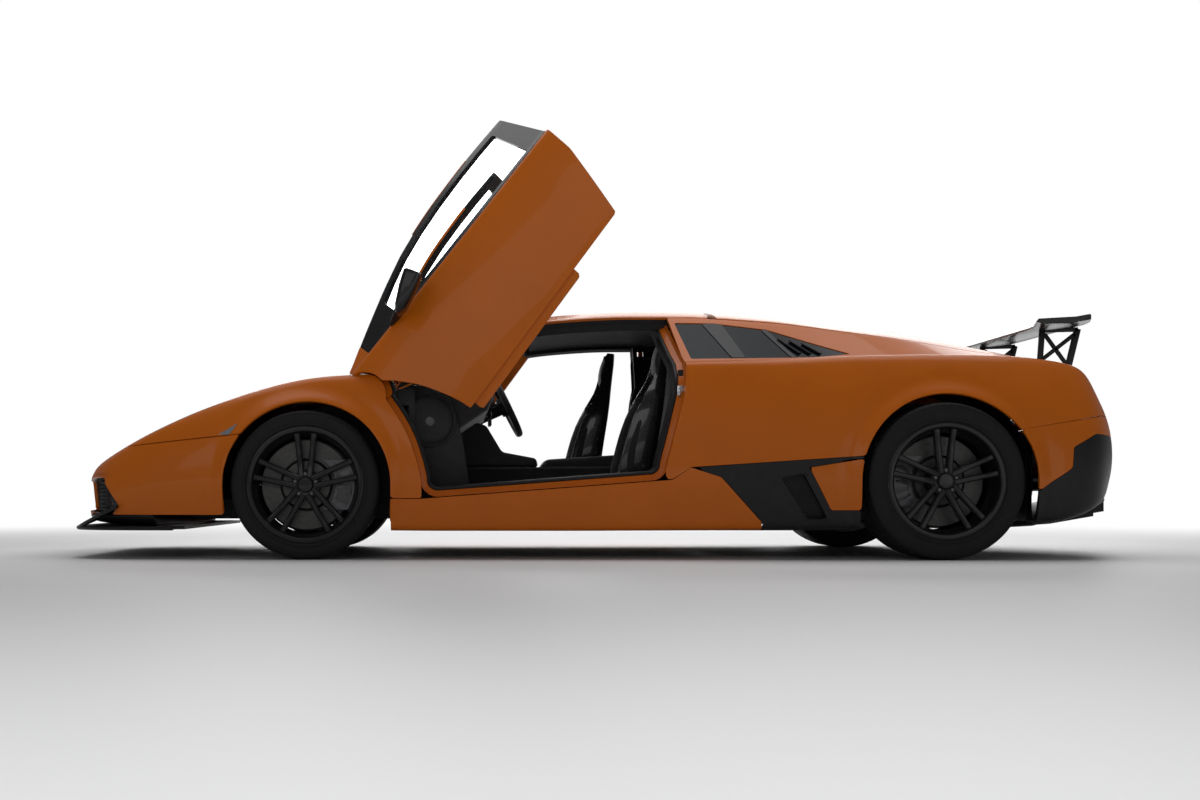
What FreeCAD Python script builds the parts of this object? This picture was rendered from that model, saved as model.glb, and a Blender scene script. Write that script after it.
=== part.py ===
"""A low, mid-engined two-seat supercar with scissor doors, a fixed rear wing and a deep black front splitter.

Millimetres. +X runs from nose to tail, +Y to the car's right, +Z up. The origin is on the ground, under the
middle of the car. Doors are modelled closed and then swung up to the angle at which they stand open.
"""
import FreeCAD, Part
import math
import os

import Sketcher

from FreeCAD import Placement, Rotation, Vector

doc = FreeCAD.newDocument("Supercar")

# Driving dimensions
SIZES = [
    # overall layout
    ("wheelbase", 2665), ("front_overhang", 1040), ("rear_overhang", 1000),
    ("front_track", 1635), ("rear_track", 1695),
    # wheels
    ("front_tyre_radius", 314.5), ("rear_tyre_radius", 329),
    ("front_tyre_width", 245), ("rear_tyre_width", 335),
    ("rim_seat_radius", 228), ("rim_wall", 12), ("flange_height", 18), ("flange_width", 8),
    ("rim_inset", 8), ("tyre_fit", 0.2), ("tread_round", 34), ("tread_drop", 12),
    ("hub_radius", 62), ("hub_bore_radius", 30), ("hub_fit", 0.3), ("rubber", 26),
    ("spoke_width", 19), ("spoke_depth", 34), ("spoke_gap", 50), ("spoke_pairs", 5), ("spoke_dish", 14),
    ("disc_radius", 188), ("disc_thickness", 30), ("disc_offset", 20),
    # uprights, arms and brakes
    ("kingpin_inset", 45), ("kingpin_radius", 12), ("upright_depth", 62), ("upright_height", 290),
    ("upright_width", 86), ("arm_thickness", 20), ("arm_gap", 6), ("arm_tip_width", 52), ("arm_root_width", 170),
    ("caliper_gap", 6), ("caliper_depth", 18), ("caliper_length", 210), ("caliper_reach", 62),
    # body panels
    ("panel", 24), ("roof_panel", 36), ("glass", 6), ("glass_drop", 8), ("seam", 0.8), ("shut_gap", 6),
    ("pillar_gap", 12),
    ("arch_gap", 37), ("liner_gap", 64), ("liner_wall", 7), ("pillar_width", 52),
    # doors
    ("door_thickness", 96), ("door_frame", 26), ("door_open_angle", 49.5),
    ("hinge_back", 241.5), ("hinge_height", 691), ("hinge_clear", 100), ("hinge_pin_radius", 9),
    ("hinge_arm_width", 32), ("hinge_fit", 0.3),
    # lids
    ("lid_panel", 26), ("lid_side_gap", 8), ("bonnet_gap", 22), ("cover_gap", 39), ("lid_pin_radius", 5),
    ("lug_width", 24), ("lug_spread", 380), ("lid_pin_drop", 10),
    # platform
    ("floor_height", 122), ("floor_thickness", 26),
    ("cabin_half_width", 760), ("tunnel_half_width", 130), ("tunnel_height", 400), ("front_box_half_width", 372),
    ("bulkhead", 26), ("waist_height", 800),
    ("front_wall_back", 430), ("box_back", -560), ("box_floor", 165), ("box_wall", 16), ("box_lid_height", 384),
    # engine, drive and tail pipe
    ("engine_ahead", 860), ("engine_length", 1030), ("engine_half_width", 265), ("engine_low", 190),
    ("engine_height", 500), ("shaft_radius", 22),
    ("pipe_half_width", 78), ("pipe_radius", 56), ("pipe_wall", 5), ("pipe_height", 352), ("pipe_length", 317),
    # cabin
    ("steering_back", 882), ("seat_spacing", 770), ("steering_height", 720), ("steering_radius", 168),
    ("steering_rim", 13), ("steering_hub", 48), ("steering_tilt", 64), ("column_length", 170), ("column_radius", 26),
    # wing
    ("wing_span", 1440), ("wing_chord", 262), ("wing_thickness", 22), ("wing_height", 1042),
    ("strut_spacing", 800), ("strut_thickness", 14),
    # towing eyes
    ("tow_socket_radius", 8), ("tow_socket_length", 60),
]

sheet = doc.addObject("Spreadsheet::Sheet", "Sizes")
for row_number, (alias, number) in enumerate(SIZES, start=1):
    sheet.set(f"A{row_number}", alias)
    sheet.set(f"B{row_number}", str(number))
    sheet.setAlias(f"B{row_number}", alias)
doc.recompute()


def size(alias):
    """The number in the sheet's cell of that name."""
    return float(sheet.get(alias))


TOTAL = size("front_overhang") + size("wheelbase") + size("rear_overhang")
FRONT_X = size("front_overhang") - TOTAL / 2
REAR_X = FRONT_X + size("wheelbase")
FRONT_FACE = size("front_track") / 2 + size("front_tyre_width") / 2
REAR_FACE = size("rear_track") / 2 + size("rear_tyre_width") / 2

# The same places as expressions, for the objects that are bound to the sheet
TOTAL_E = "(Sizes.front_overhang + Sizes.wheelbase + Sizes.rear_overhang)"
FRONT_X_E = f"(Sizes.front_overhang - {TOTAL_E} / 2)"
REAR_X_E = f"({FRONT_X_E} + Sizes.wheelbase)"

# Body sections. Each row is a distance behind an axle, then heights above the ground. The side columns
# (floor_y, low_y, wide_y, shoulder_y) are measured outwards from the tyre's outer face, the others from the middle.
COLUMNS = ("x", "floor_y", "floor_z", "low_y", "low_z", "wide_y", "wide_z", "shoulder_y", "shoulder_z",
           "valley_y", "valley_z", "rail_y", "rail_z", "crown_z")
FRONT_ROWS = [
    (-1022, -640, 165, -560, 182, -540, 280, -565, 340, 340, 358, 250, 366, 372),
    (-990, -480, 160, -410, 178, -395, 285, -430, 352, 470, 374, 340, 384, 390),
    (-950, -330, 155, -250, 175, -235, 290, -280, 368, 600, 392, 400, 400, 407),
    (-900, -250, 150, -160, 172, -140, 295, -190, 392, 670, 420, 440, 430, 438),
    (-778, -200, 140, -105, 165, -75, 310, -135, 468, 715, 490, 500, 492, 500),
    (-638, -180, 130, -75, 158, -40, 330, -105, 543, 745, 560, 550, 552, 560),
    (-488, -170, 120, -50, 152, -12, 350, -95, 612, 748, 627, 580, 606, 614),
    (-338, -160, 120, -25, 150, 10, 380, -90, 668, 750, 683, 598, 652, 661),
    (-168, -160, 120, -10, 150, 30, 430, -85, 724, 750, 737, 610, 698, 711),
    (0, -150, 120, -5, 140, 35, 450, -82, 764, 750, 772, 622, 742, 758),
    (132, -140, 120, -5, 130, 32, 450, -80, 778, 757, 783, 645, 777, 800),
    (262, -140, 120, -5, 125, 26, 445, -72, 781, 832, 790, 800, 802, 852),
    (382, -140, 120, -8, 122, 20, 440, -60, 783, 842, 793, 775, 848, 907),
    (592, -140, 120, -12, 120, 15, 435, -52, 790, 852, 800, 700, 925, 987),
    (812, -140, 120, -12, 120, 15, 435, -48, 798, 858, 807, 622, 998, 1057),
    (1096, -140, 120, -8, 120, 18, 435, -45, 808, 860, 816, 562, 1044, 1112),
    (1412, -135, 120, 0, 122, 26, 438, -38, 820, 860, 828, 548, 1060, 1135),
    (1612, -130, 120, 10, 124, 38, 440, -28, 829, 848, 834, 545, 1060, 1134),
]
REAR_ROWS = [
    (-632, -150, 120, -35, 130, -10, 450, -110, 846, 762, 846, 532, 1040, 1104),
    (-352, -150, 120, -15, 135, 5, 460, -115, 862, 738, 857, 505, 1008, 1066),
    (0, -150, 125, -5, 140, 14, 470, -125, 869, 720, 859, 482, 962, 1030),
    (248, -150, 130, -8, 150, 9, 470, -135, 867, 706, 856, 468, 920, 990),
    (498, -170, 150, -30, 175, -15, 480, -160, 844, 692, 842, 460, 884, 934),
    (648, -200, 190, -75, 220, -55, 490, -200, 806, 672, 822, 456, 854, 888),
    (720, -300, 215, -170, 255, -130, 500, -290, 715, 600, 775, 445, 812, 838),
    (790, -420, 250, -330, 290, -280, 510, -440, 690, 490, 742, 420, 772, 800),
    (850, -520, 280, -450, 318, -420, 515, -570, 665, 400, 718, 360, 745, 772),
    (895, -600, 300, -555, 335, -525, 520, -640, 650, 335, 695, 300, 718, 740),
]


def body_rows():
    """Every section as a dictionary, with its x and widths measured from the car's own origin."""
    rows = []
    for table, axle_x, face in ((FRONT_ROWS, FRONT_X, FRONT_FACE), (REAR_ROWS, REAR_X, REAR_FACE)):
        for numbers in table:
            row = dict(zip(COLUMNS, numbers))
            row["x"] += axle_x
            for column in ("floor_y", "low_y", "wide_y", "shoulder_y"):
                row[column] += face
            rows.append(row)
    return rows


ROWS = body_rows()
NOSE_X, TAIL_X = ROWS[0]["x"], ROWS[-1]["x"]


def row_at(x):
    """The section at x, straight between the two rows beside it, and level past the ends."""
    x_held = min(max(x, NOSE_X), TAIL_X)
    for before, after in zip(ROWS, ROWS[1:]):
        if x_held <= after["x"]:
            share = (x_held - before["x"]) / (after["x"] - before["x"])
            row = {c: before[c] + (after[c] - before[c]) * share for c in COLUMNS}
            row["x"] = x
            return row
    raise ValueError("no section there")


def inset_points(points, depth):
    """A half section moved inwards by depth. It starts and ends on the middle plane, so its ends move straight."""
    moved = []
    for i, (y, z) in enumerate(points):
        normals = []
        for a, b in ((i - 1, i), (i, i + 1)):
            if a >= 0 and b < len(points):
                dy, dz = points[b][0] - points[a][0], points[b][1] - points[a][1]
                run = math.hypot(dy, dz)
                normals.append((-dz / run, dy / run))
        if len(normals) == 1:
            moved.append((0.0, z + math.copysign(depth, normals[0][1])))
            continue
        (ny1, nz1), (ny2, nz2) = normals
        spread = max(1 + ny1 * ny2 + nz1 * nz2, 0.5)
        moved.append((y + depth * (ny1 + ny2) / spread, z + depth * (nz1 + nz2) / spread))
    return moved


def section_wire(x, depth):
    """The closed outline of the body at x, depth inside its surface: lines, two side arcs and a roof arc."""
    row = row_at(x)
    half = [(0.0, row["floor_z"])]
    half += [(row[f"{n}_y"], row[f"{n}_z"]) for n in ("floor", "low", "wide", "shoulder", "valley", "rail")]
    half.append((0.0, row["crown_z"]))
    half = inset_points(half, depth) if depth else half
    right = [Vector(x, y, z) for y, z in half]
    left = [Vector(x, -y, z) for y, z in half]
    _, floor, low, wide, shoulder, valley, rail, crown = right
    _, floor_l, low_l, wide_l, shoulder_l, valley_l, rail_l, _ = left
    edges = [
        Part.LineSegment(floor_l, floor), Part.LineSegment(floor, low), Part.Arc(low, wide, shoulder),
        Part.LineSegment(shoulder, valley), Part.LineSegment(valley, rail), Part.Arc(rail, crown, rail_l),
        Part.LineSegment(rail_l, valley_l), Part.LineSegment(valley_l, shoulder_l),
        Part.Arc(shoulder_l, wide_l, low_l), Part.LineSegment(low_l, floor_l),
    ]
    return Part.Wire([e.toShape() for e in edges])


def slab(x_from, x_to, depth=0.0):
    """The solid body between two places along the car, depth inside its surface."""
    inside = [row["x"] for row in ROWS if x_from + 1 < row["x"] < x_to - 1]
    wires = [section_wire(x, depth) for x in [x_from, *inside, x_to]]
    return Part.makeLoft(wires, True, True)


def skin(x_from, x_to, depth, start=0.0):
    """The body's wall between start and depth under its surface, open at both ends."""
    return slab(x_from, x_to, start).cut(slab(x_from - 1, x_to + 1, depth))


def side_prism(points, y_from, y_to):
    """A side-view outline of (x, z) points, from y_from to y_to."""
    corners = [Vector(x, y_from, z) for x, z in points]
    return Part.Face(Part.makePolygon(corners + corners[:1])).extrude(Vector(0, y_to - y_from, 0))


def plan_prism(points, z_from, z_to):
    """A plan-view outline of (x, y) points, from z_from to z_to."""
    corners = [Vector(x, y, z_from) for x, y in points]
    return Part.Face(Part.makePolygon(corners + corners[:1])).extrude(Vector(0, 0, z_to - z_from))


def front_prism(points, x_from, x_to):
    """A front-view outline of (y, z) points, from x_from to x_to."""
    corners = [Vector(x_from, y, z) for y, z in points]
    return Part.Face(Part.makePolygon(corners + corners[:1])).extrude(Vector(x_to - x_from, 0, 0))


def block(x_from, x_to, y_from, y_to, z_from, z_to):
    return Part.makeBox(x_to - x_from, y_to - y_from, z_to - z_from, Vector(x_from, y_from, z_from))


def cross_tube(radius, x, z, y_from, y_to):
    """A cylinder along Y."""
    return Part.makeCylinder(radius, y_to - y_from, Vector(x, y_from, z), Vector(0, 1, 0))


HIGH = 1400.0
LOW = 40.0
WIDE = 1200.0


def rail_core(x_from, x_to, inside):
    """The space between the two roof rails, and inside them by a distance: it parts the roof from the doors."""
    stations = [x_from] + [row["x"] for row in ROWS if x_from + 1 < row["x"] < x_to - 1] + [x_to]
    wires = []
    for x in stations:
        half = row_at(x)["rail_y"] - inside
        corners = [Vector(x, -half, 300), Vector(x, half, 300), Vector(x, half, HIGH), Vector(x, -half, HIGH)]
        wires.append(Part.makePolygon(corners + corners[:1]))
    return Part.makeLoft(wires, True, True)


def mirrored(shape):
    return shape.mirror(Vector(0, 0, 0), Vector(0, 1, 0))


def largest(shape):
    """The largest solid of a cut, which drops slivers."""
    return max(shape.Solids, key=lambda s: s.Volume)


def front(x):
    """A place measured behind the front axle."""
    return FRONT_X + x


def rear(x):
    """A place measured behind the rear axle."""
    return REAR_X + x


def keep(label, shape, placement=None):
    """Adds a finished shape to the document as a sub-part of its own."""
    feature = doc.addObject("Part::Feature", label)
    feature.Label = label
    feature.Shape = shape
    if placement is not None:
        feature.Placement = placement.multiply(feature.Placement)
    PARTS.append(feature)
    return feature


def keep_pair(label, right_shape, placement=None):
    """A right-hand piece and its mirror image on the left."""
    keep(f"{label}_right", right_shape, placement)
    keep(f"{label}_left", mirrored(right_shape), placement)


def keep_both(label, right_shape):
    """Adds a right-hand piece and its mirror image as one sub-part of two solids that don't touch."""
    keep(label, Part.makeCompound([right_shape, mirrored(right_shape)]))


def box_object(name, corner, extent):
    """A box bound to the sheet by its low corner and its extent, three expressions each."""
    box = doc.addObject("Part::Box", name)
    for axis, place, side, length in zip("xyz", corner, ("Length", "Width", "Height"), extent):
        box.setExpression(f"Placement.Base.{axis}", place)
        box.setExpression(side, length)
    return box


def cylinder_object(name, base, radius, height, rotation=Rotation()):
    """A cylinder bound to the sheet, from the middle of its base and along its turned axis."""
    cylinder = doc.addObject("Part::Cylinder", name)
    cylinder.Placement = Placement(Vector(), rotation)
    for axis, place in zip("xyz", base):
        cylinder.setExpression(f"Placement.Base.{axis}", place)
    cylinder.setExpression("Radius", radius)
    cylinder.setExpression("Height", height)
    return cylinder


def fuse_object(name, members):
    fused = doc.addObject("Part::MultiFuse", name)
    fused.Shapes = members
    fused.Refine = True
    return fused


def cut_object(name, base, tool):
    cut = doc.addObject("Part::Cut", name)
    cut.Base, cut.Tool = base, tool
    return cut


def outline_sketch(sketch, points):
    """Draws a closed outline of straight lines whose corners are bound to the sheet, two expressions each."""
    values = [(float(sheet.evalExpression(a)), float(sheet.evalExpression(b))) for a, b in points]
    ends = values[1:] + values[:1]
    for (a1, b1), (a2, b2) in zip(values, ends):
        sketch.addGeometry(Part.LineSegment(Vector(a1, b1, 0), Vector(a2, b2, 0)))
    for n in range(len(points)):
        sketch.addConstraint(Sketcher.Constraint("Coincident", n, 2, (n + 1) % len(points), 1))
    for n, (place, value) in enumerate(zip(points, values)):
        for kind, expression, number in zip(("DistanceX", "DistanceY"), place, value):
            index = sketch.addConstraint(Sketcher.Constraint(kind, -1, 1, n, 1, number))
            sketch.setExpression(f"Constraints[{index}]", expression)


def turned_body(label, profile, axle_e, side, track_e, height_e):
    """A body of revolution from (y, radius) expressions, standing at one end of an axle."""
    body = doc.addObject("PartDesign::Body", label)
    sketch = body.newObject("Sketcher::SketchObject", f"{label}_profile")
    plane = next(f for f in body.Origin.OriginFeatures if f.Role == "XY_Plane")
    sketch.AttachmentSupport = (plane, [""])
    sketch.MapMode = "FlatFace"
    outline_sketch(sketch, [(radius, y) for y, radius in profile])
    turn = body.newObject("PartDesign::Revolution", f"{label}_turn")
    turn.Profile = sketch
    turn.ReferenceAxis = (sketch, ["V_Axis"])
    turn.Angle = 360
    body.Placement = wheel_place(0, 0, 0, side)
    body.setExpression("Placement.Base.x", axle_e)
    body.setExpression("Placement.Base.y", f"{track_e} / 2 * {side}")
    body.setExpression("Placement.Base.z", height_e)
    PARTS.append(body)
    return body


def wheel_place(x, y, z, side):
    """Moves a wheel's shape to its place; the left-hand one is turned half round first."""
    if side > 0:
        return Placement(Vector(x, y, z), Rotation())
    return Placement(Vector(x, -y, z), Rotation(Vector(0, 0, 1), 180))


PARTS = []

# Side-view lines of the body, from the front axle and up from the ground
HINGE_X, HINGE_Z = front(size("hinge_back")), size("hinge_height")
BONNET_FRONT_X = front(-765)
BUMPER_TOP_X = BONNET_FRONT_X - size("lid_side_gap")
BUMPER_SEAM = [(BUMPER_TOP_X, 478), (front(-200), 534)]
COWL_X = front(122)
SCREEN_FRONT_X, SCREEN_REAR_X = front(262), front(985)
ROOF_REAR_X = front(1750)
COVER_FRONT_X, COVER_REAR_X = ROOF_REAR_X + size("cover_gap"), rear(452)
DOOR_REAR_LOW, DOOR_REAR_WAIST, DOOR_REAR_TOP = (front(1502), 378), (front(1595), 829), (front(1528), HIGH - 300)
DOOR_REAR_BEND, DOOR_FRONT_LOW = (front(1587), 700), (front(492), 310)
SILL_LINE = [(front(492), 256), (front(1534), 335)]
WAIST_FRONT_Z = 786


def on_hinge(radius, degrees):
    """A side-view point at a distance and an angle from the door's hinge."""
    angle = math.radians(degrees)
    return HINGE_X + radius * math.cos(angle), HINGE_Z + radius * math.sin(angle)


def door_edge(gap):
    """The door's front edge from its top to its lower corner, moved by gap: an arc round the hinge, then straight."""
    radius = size("hinge_clear") + gap
    arc = [on_hinge(radius, degrees) for degrees in range(70, -18, -11)]
    bend = [(front(x) + gap, z + 0.6 * gap) for x, z in ((373, 630), (420, 552), (456, 466), (486, 360))]
    return arc + bend + [(DOOR_FRONT_LOW[0] + gap, DOOR_FRONT_LOW[1])]


def door_outline(gap):
    """The whole closed door in side view, shrunk by gap."""
    edge = door_edge(gap)
    top_x = edge[0][0]
    rear_low = (DOOR_REAR_LOW[0] - gap, DOOR_REAR_LOW[1])
    rear_bend = (DOOR_REAR_BEND[0] - gap, DOOR_REAR_BEND[1])
    rear_waist = (DOOR_REAR_WAIST[0] - gap, DOOR_REAR_WAIST[1])
    rear_top = (DOOR_REAR_TOP[0] - gap, DOOR_REAR_TOP[1] + 100)
    return [(top_x, rear_top[1]), *edge, rear_low, rear_bend, rear_waist, rear_top]


def arch_cut(axle_x, radius_alias, y_from, y_to):
    """What a wheel arch takes out of a side panel: a round top with straight sides down past the sill."""
    radius = size(radius_alias) + size("arch_gap")
    axle_z = size(radius_alias)
    round_top = cross_tube(radius, axle_x + 8, axle_z, y_from, y_to)
    return round_top.fuse(block(axle_x + 8 - radius, axle_x + 8 + radius, y_from, y_to, LOW, axle_z))


PANEL, SEAM, SHUT = size("panel"), size("seam"), size("shut_gap")
SIDE_GAP = size("lid_side_gap") / 2


def half_space(side):
    """A slab of space that holds everything on one side of the car: +1 is the right, -1 the left."""
    return block(-3000, 3000, 0.0, WIDE, -50, HIGH) if side > 0 else block(-3000, 3000, -WIDE, 0.0, -50, HIGH)


def end_shell(x_from, x_to, end):
    """The body's wall with one end closed: the nose (end -1) or the tail (end +1)."""
    if end < 0:
        inner = slab(x_from, x_to + 1, PANEL)
    else:
        inner = slab(x_from - 1, x_to, PANEL)
    inner.translate(Vector(-end * PANEL, 0, 0))
    return slab(x_from, x_to).cut(inner)


# Wheel arches and the big openings
FRONT_ARCH = arch_cut(FRONT_X, "front_tyre_radius", 380, WIDE)
REAR_ARCH = arch_cut(REAR_X, "rear_tyre_radius", 432, WIDE)
LAMP_PLAN = [(front(-764), 548), (front(-752), 690), (front(-640), 800), (front(-470), 812), (front(-400), 790),
             (front(-560), 664), (front(-690), 566)]
INTAKE_FRONT = [(215, 205), (740, 192), (862, 250), (850, 330), (780, 350), (280, 332)]

LIP_TOP = 186

# Front bumper: everything ahead of the bonnet, and the strip under the headlamp back to the wheel arch
nose_shell = end_shell(NOSE_X, front(-200), -1)
(_, seam_z), (seam_rear_x, seam_rear_z) = BUMPER_SEAM
bumper_zone = side_prism([(NOSE_X - 5, LOW), (seam_rear_x, LOW), (seam_rear_x, seam_rear_z), (BUMPER_TOP_X, seam_z),
                          (BUMPER_TOP_X, 700), (NOSE_X - 5, 700)], -WIDE, WIDE)
lip_zone = block(NOSE_X - 5, front(-190), -WIDE, WIDE, LOW, LIP_TOP)
under_bonnet = rail_core(BUMPER_TOP_X, front(-190), -SIDE_GAP)
intakes = front_prism(INTAKE_FRONT, NOSE_X - 20, front(-862))
INTAKE_SIDE = [(NOSE_X - 20, 345), (front(-877), 343), (front(-795), 226), (front(-830), LIP_TOP - 10),
               (NOSE_X - 20, LIP_TOP - 10)]
intakes = intakes.fuse(side_prism(INTAKE_SIDE, 690, WIDE))
intakes = intakes.fuse(mirrored(intakes))
under_nose = block(front(-639), front(-190), -640, 640, LOW, 240)
front_bumper = nose_shell.common(bumper_zone).cut(lip_zone).cut(intakes).cut(under_nose).cut(under_bonnet)
front_bumper = front_bumper.cut(FRONT_ARCH).cut(mirrored(FRONT_ARCH))


def tow_socket(shape, x, y, z, outward):
    """A bored boss behind a bumper's face, for a screw-in towing eye."""
    along = Vector(-outward, 0, 0)
    length = size("tow_socket_length")
    boss = Part.makeCylinder(size("tow_socket_radius") + 9, length - 2, Vector(x - 2 * outward, y, z), along)
    bore = Part.makeCylinder(size("tow_socket_radius"), length + 10, Vector(x + 5 * outward, y, z), along)
    return shape.fuse(boss).cut(bore)


front_bumper = tow_socket(front_bumper, NOSE_X, 120, 300, -1)
keep("front_bumper", largest(front_bumper.removeSplitter()))

# The black lip under it: a flat blade, wider than the nose, and the skirt above the blade
BLADE = [(front(-1040), 0), (front(-1040), 420), (front(-1036), 600), (front(-1010), 715), (front(-950), 800),
         (front(-850), 868), (front(-700), 905), (front(-560), 905), (front(-560), 0)]
blade_outline = BLADE + [(x, -y) for x, y in reversed(BLADE[1:-1])]
blade = plan_prism(blade_outline, 122, 140)
skirt = nose_shell.common(block(NOSE_X - 5, front(-641), -WIDE, WIDE, LOW, LIP_TOP - SEAM))
raised_corner = side_prism([(front(-1000), 126), (front(-1000), 140), (front(-800), 228), (front(-800), 214),
                            (front(-960), 126)], 700, WIDE)
raised_corner = raised_corner.common(plan_prism(blade_outline, 100, 300)).cut(slab(NOSE_X, front(-640)))
raised_corner = largest(raised_corner)
splitter = blade.fuse(skirt).fuse(raised_corner).fuse(mirrored(raised_corner))
keep("front_splitter", splitter.removeSplitter())

# Mesh behind the front openings and in the flanks
mesh_core = slab(NOSE_X, front(-780), PANEL + 8)
mesh_core.translate(Vector(8, 0, 0))
front_mesh = slab(NOSE_X, front(-780), PANEL + SEAM / 2).cut(mesh_core)
front_mesh.translate(Vector(PANEL + SEAM / 2, 0, 0))
mesh_zone = front_prism([(205, 198), (745, 188), (880, 188), (880, 348), (785, 358), (275, 340)], NOSE_X, front(-786))
right_mesh = largest(front_mesh.common(mesh_zone))

# Front wings, from the headlamps back to the doors
wing_skin = skin(BUMPER_TOP_X + SEAM, front(520), PANEL)
seam_low = side_prism([(BUMPER_TOP_X - 9, LOW), (seam_rear_x, LOW), (seam_rear_x, seam_rear_z + SEAM),
                       (BUMPER_TOP_X, seam_z + SEAM), (BUMPER_TOP_X - 9, seam_z + SEAM)], -WIDE, WIDE)
middle = rail_core(front(-790), front(530), -SIDE_GAP)
lamp_hole = plan_prism(LAMP_PLAN, 300, 700)
sill_start = SILL_LINE[0][1]
past_door = side_prism([(front(540), HIGH), (door_edge(-SHUT)[0][0], HIGH), *door_edge(-SHUT),
                        (DOOR_FRONT_LOW[0] - SHUT, sill_start), (front(540), sill_start)], -WIDE, WIDE)
below_sill_line = block(front(352), front(540), -WIDE, WIDE, LOW, sill_start + SEAM)
tip_sweep = side_prism([on_hinge(size("hinge_clear") - SHUT, a) for a in range(129, 60, -6)]
                       + [(HINGE_X + 60, 900), (HINGE_X - 60, 900)], -WIDE, WIDE)
fender = wing_skin.common(half_space(1)).cut(seam_low).cut(middle).cut(FRONT_ARCH).cut(lamp_hole)
fender = largest(fender.cut(past_door).cut(below_sill_line).cut(tip_sweep))
keep_both("front_wing_panels", fender)

lamp_plan_x = sum(x for x, _ in LAMP_PLAN) / len(LAMP_PLAN)
lamp_plan_y = sum(y for _, y in LAMP_PLAN) / len(LAMP_PLAN)
lamp_small = [(x + (lamp_plan_x - x) * 0.008, y + (lamp_plan_y - y) * 0.008) for x, y in LAMP_PLAN]
headlamp = skin(front(-770), front(-390), PANEL + 20, 2).common(plan_prism(lamp_small, 300, 700))
headlamp = largest(headlamp.cut(seam_low))
keep("headlamps", Part.makeCompound([headlamp, mirrored(headlamp)]))

# Bonnet, hinged at the windscreen end
BONNET_REAR_X = COWL_X
bonnet = skin(BONNET_FRONT_X, BONNET_REAR_X, size("lid_panel"))
bonnet = largest(bonnet.common(rail_core(BONNET_FRONT_X - 5, BONNET_REAR_X + 5, SIDE_GAP)).common(
    block(-3000, 3000, -WIDE, WIDE, 350, HIGH)))


def crown_height(x, y):
    """The height of the roof arc of the section at x, at a distance y from the middle."""
    row = row_at(x)
    half, rise = row["rail_y"], row["crown_z"] - row["rail_z"]
    radius = (half * half + rise * rise) / (2 * rise)
    return row["crown_z"] - radius + math.sqrt(radius * radius - y * y)


def lid_hinge(edge_x, body_side, lid, frame):
    """Puts two hinges on a lid's edge: lugs on the lid, and on the frame a pin held at both ends.

    body_side is +1 where the frame lies behind the lid and -1 where it lies ahead of it.
    """
    pin_x = edge_x + body_side * 6
    pin_z = crown_height(edge_x, size("lug_spread")) - size("lid_pin_drop")
    pin_r, lug = size("lid_pin_radius"), size("lug_width")
    for y in (-size("lug_spread"), size("lug_spread")):
        bore = cross_tube(pin_r + size("hinge_fit"), pin_x, pin_z, y - lug, y + lug)
        lug_a = cross_tube(pin_r + 4, pin_x, pin_z, y - lug / 2, y + lug / 2)
        lug_b = block(*sorted((pin_x, edge_x - body_side * 20)), y - lug / 2, y + lug / 2, pin_z - 9, pin_z + 4)
        room_x = sorted((pin_x, pin_x - body_side * 18))
        room = block(*room_x, y - lug / 2 - 18, y + lug / 2 + 18, pin_z - 60, pin_z + 60)
        lid = lid.cut(room).fuse(lug_a).fuse(lug_b).cut(bore)
        pin = cross_tube(pin_r, pin_x, pin_z, y - lug / 2 - 12, y + lug / 2 + 12)
        frame = frame.fuse(pin)
        for cheek_y in (y - lug / 2 - 12, y + lug / 2 + 6):
            far = pin_x + body_side * 34
            cheek = block(*sorted((pin_x, far)), cheek_y, cheek_y + 6, pin_z - 8, pin_z + 4)
            frame = frame.fuse(cheek.fuse(cross_tube(8, pin_x, pin_z, cheek_y, cheek_y + 6)))
    return lid, frame, (pin_x, pin_z)


# Roof, screen pillars and the strip under the screen
core_all = rail_core(front(100), ROOF_REAR_X + 5, size("pillar_gap") / 2)
roof_skin = skin(BONNET_REAR_X + size("bonnet_gap"), ROOF_REAR_X, size("roof_panel"))
above_waist = block(-3000, 3000, -WIDE, WIDE, 700, HIGH)
roof_frame = roof_skin.common(core_all).common(above_waist)
screen_hole = rail_core(SCREEN_FRONT_X, SCREEN_REAR_X, size("pillar_width"))
roof_frame = largest(roof_frame.cut(screen_hole))

cover_skin = skin(COVER_FRONT_X, COVER_REAR_X, size("lid_panel"))
engine_cover = cover_skin.common(rail_core(COVER_FRONT_X - 5, COVER_REAR_X + 5, SIDE_GAP)).common(
    block(-3000, 3000, -WIDE, WIDE, 700, HIGH))
engine_cover = largest(engine_cover)

bonnet, roof_frame, BONNET_PIN = lid_hinge(BONNET_REAR_X, 1, bonnet, roof_frame)
engine_cover, roof_frame, COVER_PIN = lid_hinge(COVER_FRONT_X, -1, engine_cover, roof_frame)
keep("roof_frame", roof_frame.removeSplitter())
keep("bonnet", bonnet.removeSplitter())

screen = skin(SCREEN_FRONT_X + SEAM, SCREEN_REAR_X - SEAM, size("glass_drop") + size("glass"), size("glass_drop"))
screen = screen.common(rail_core(SCREEN_FRONT_X, SCREEN_REAR_X, size("pillar_width") + SEAM)).common(above_waist)
keep("windscreen", largest(screen))

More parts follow.
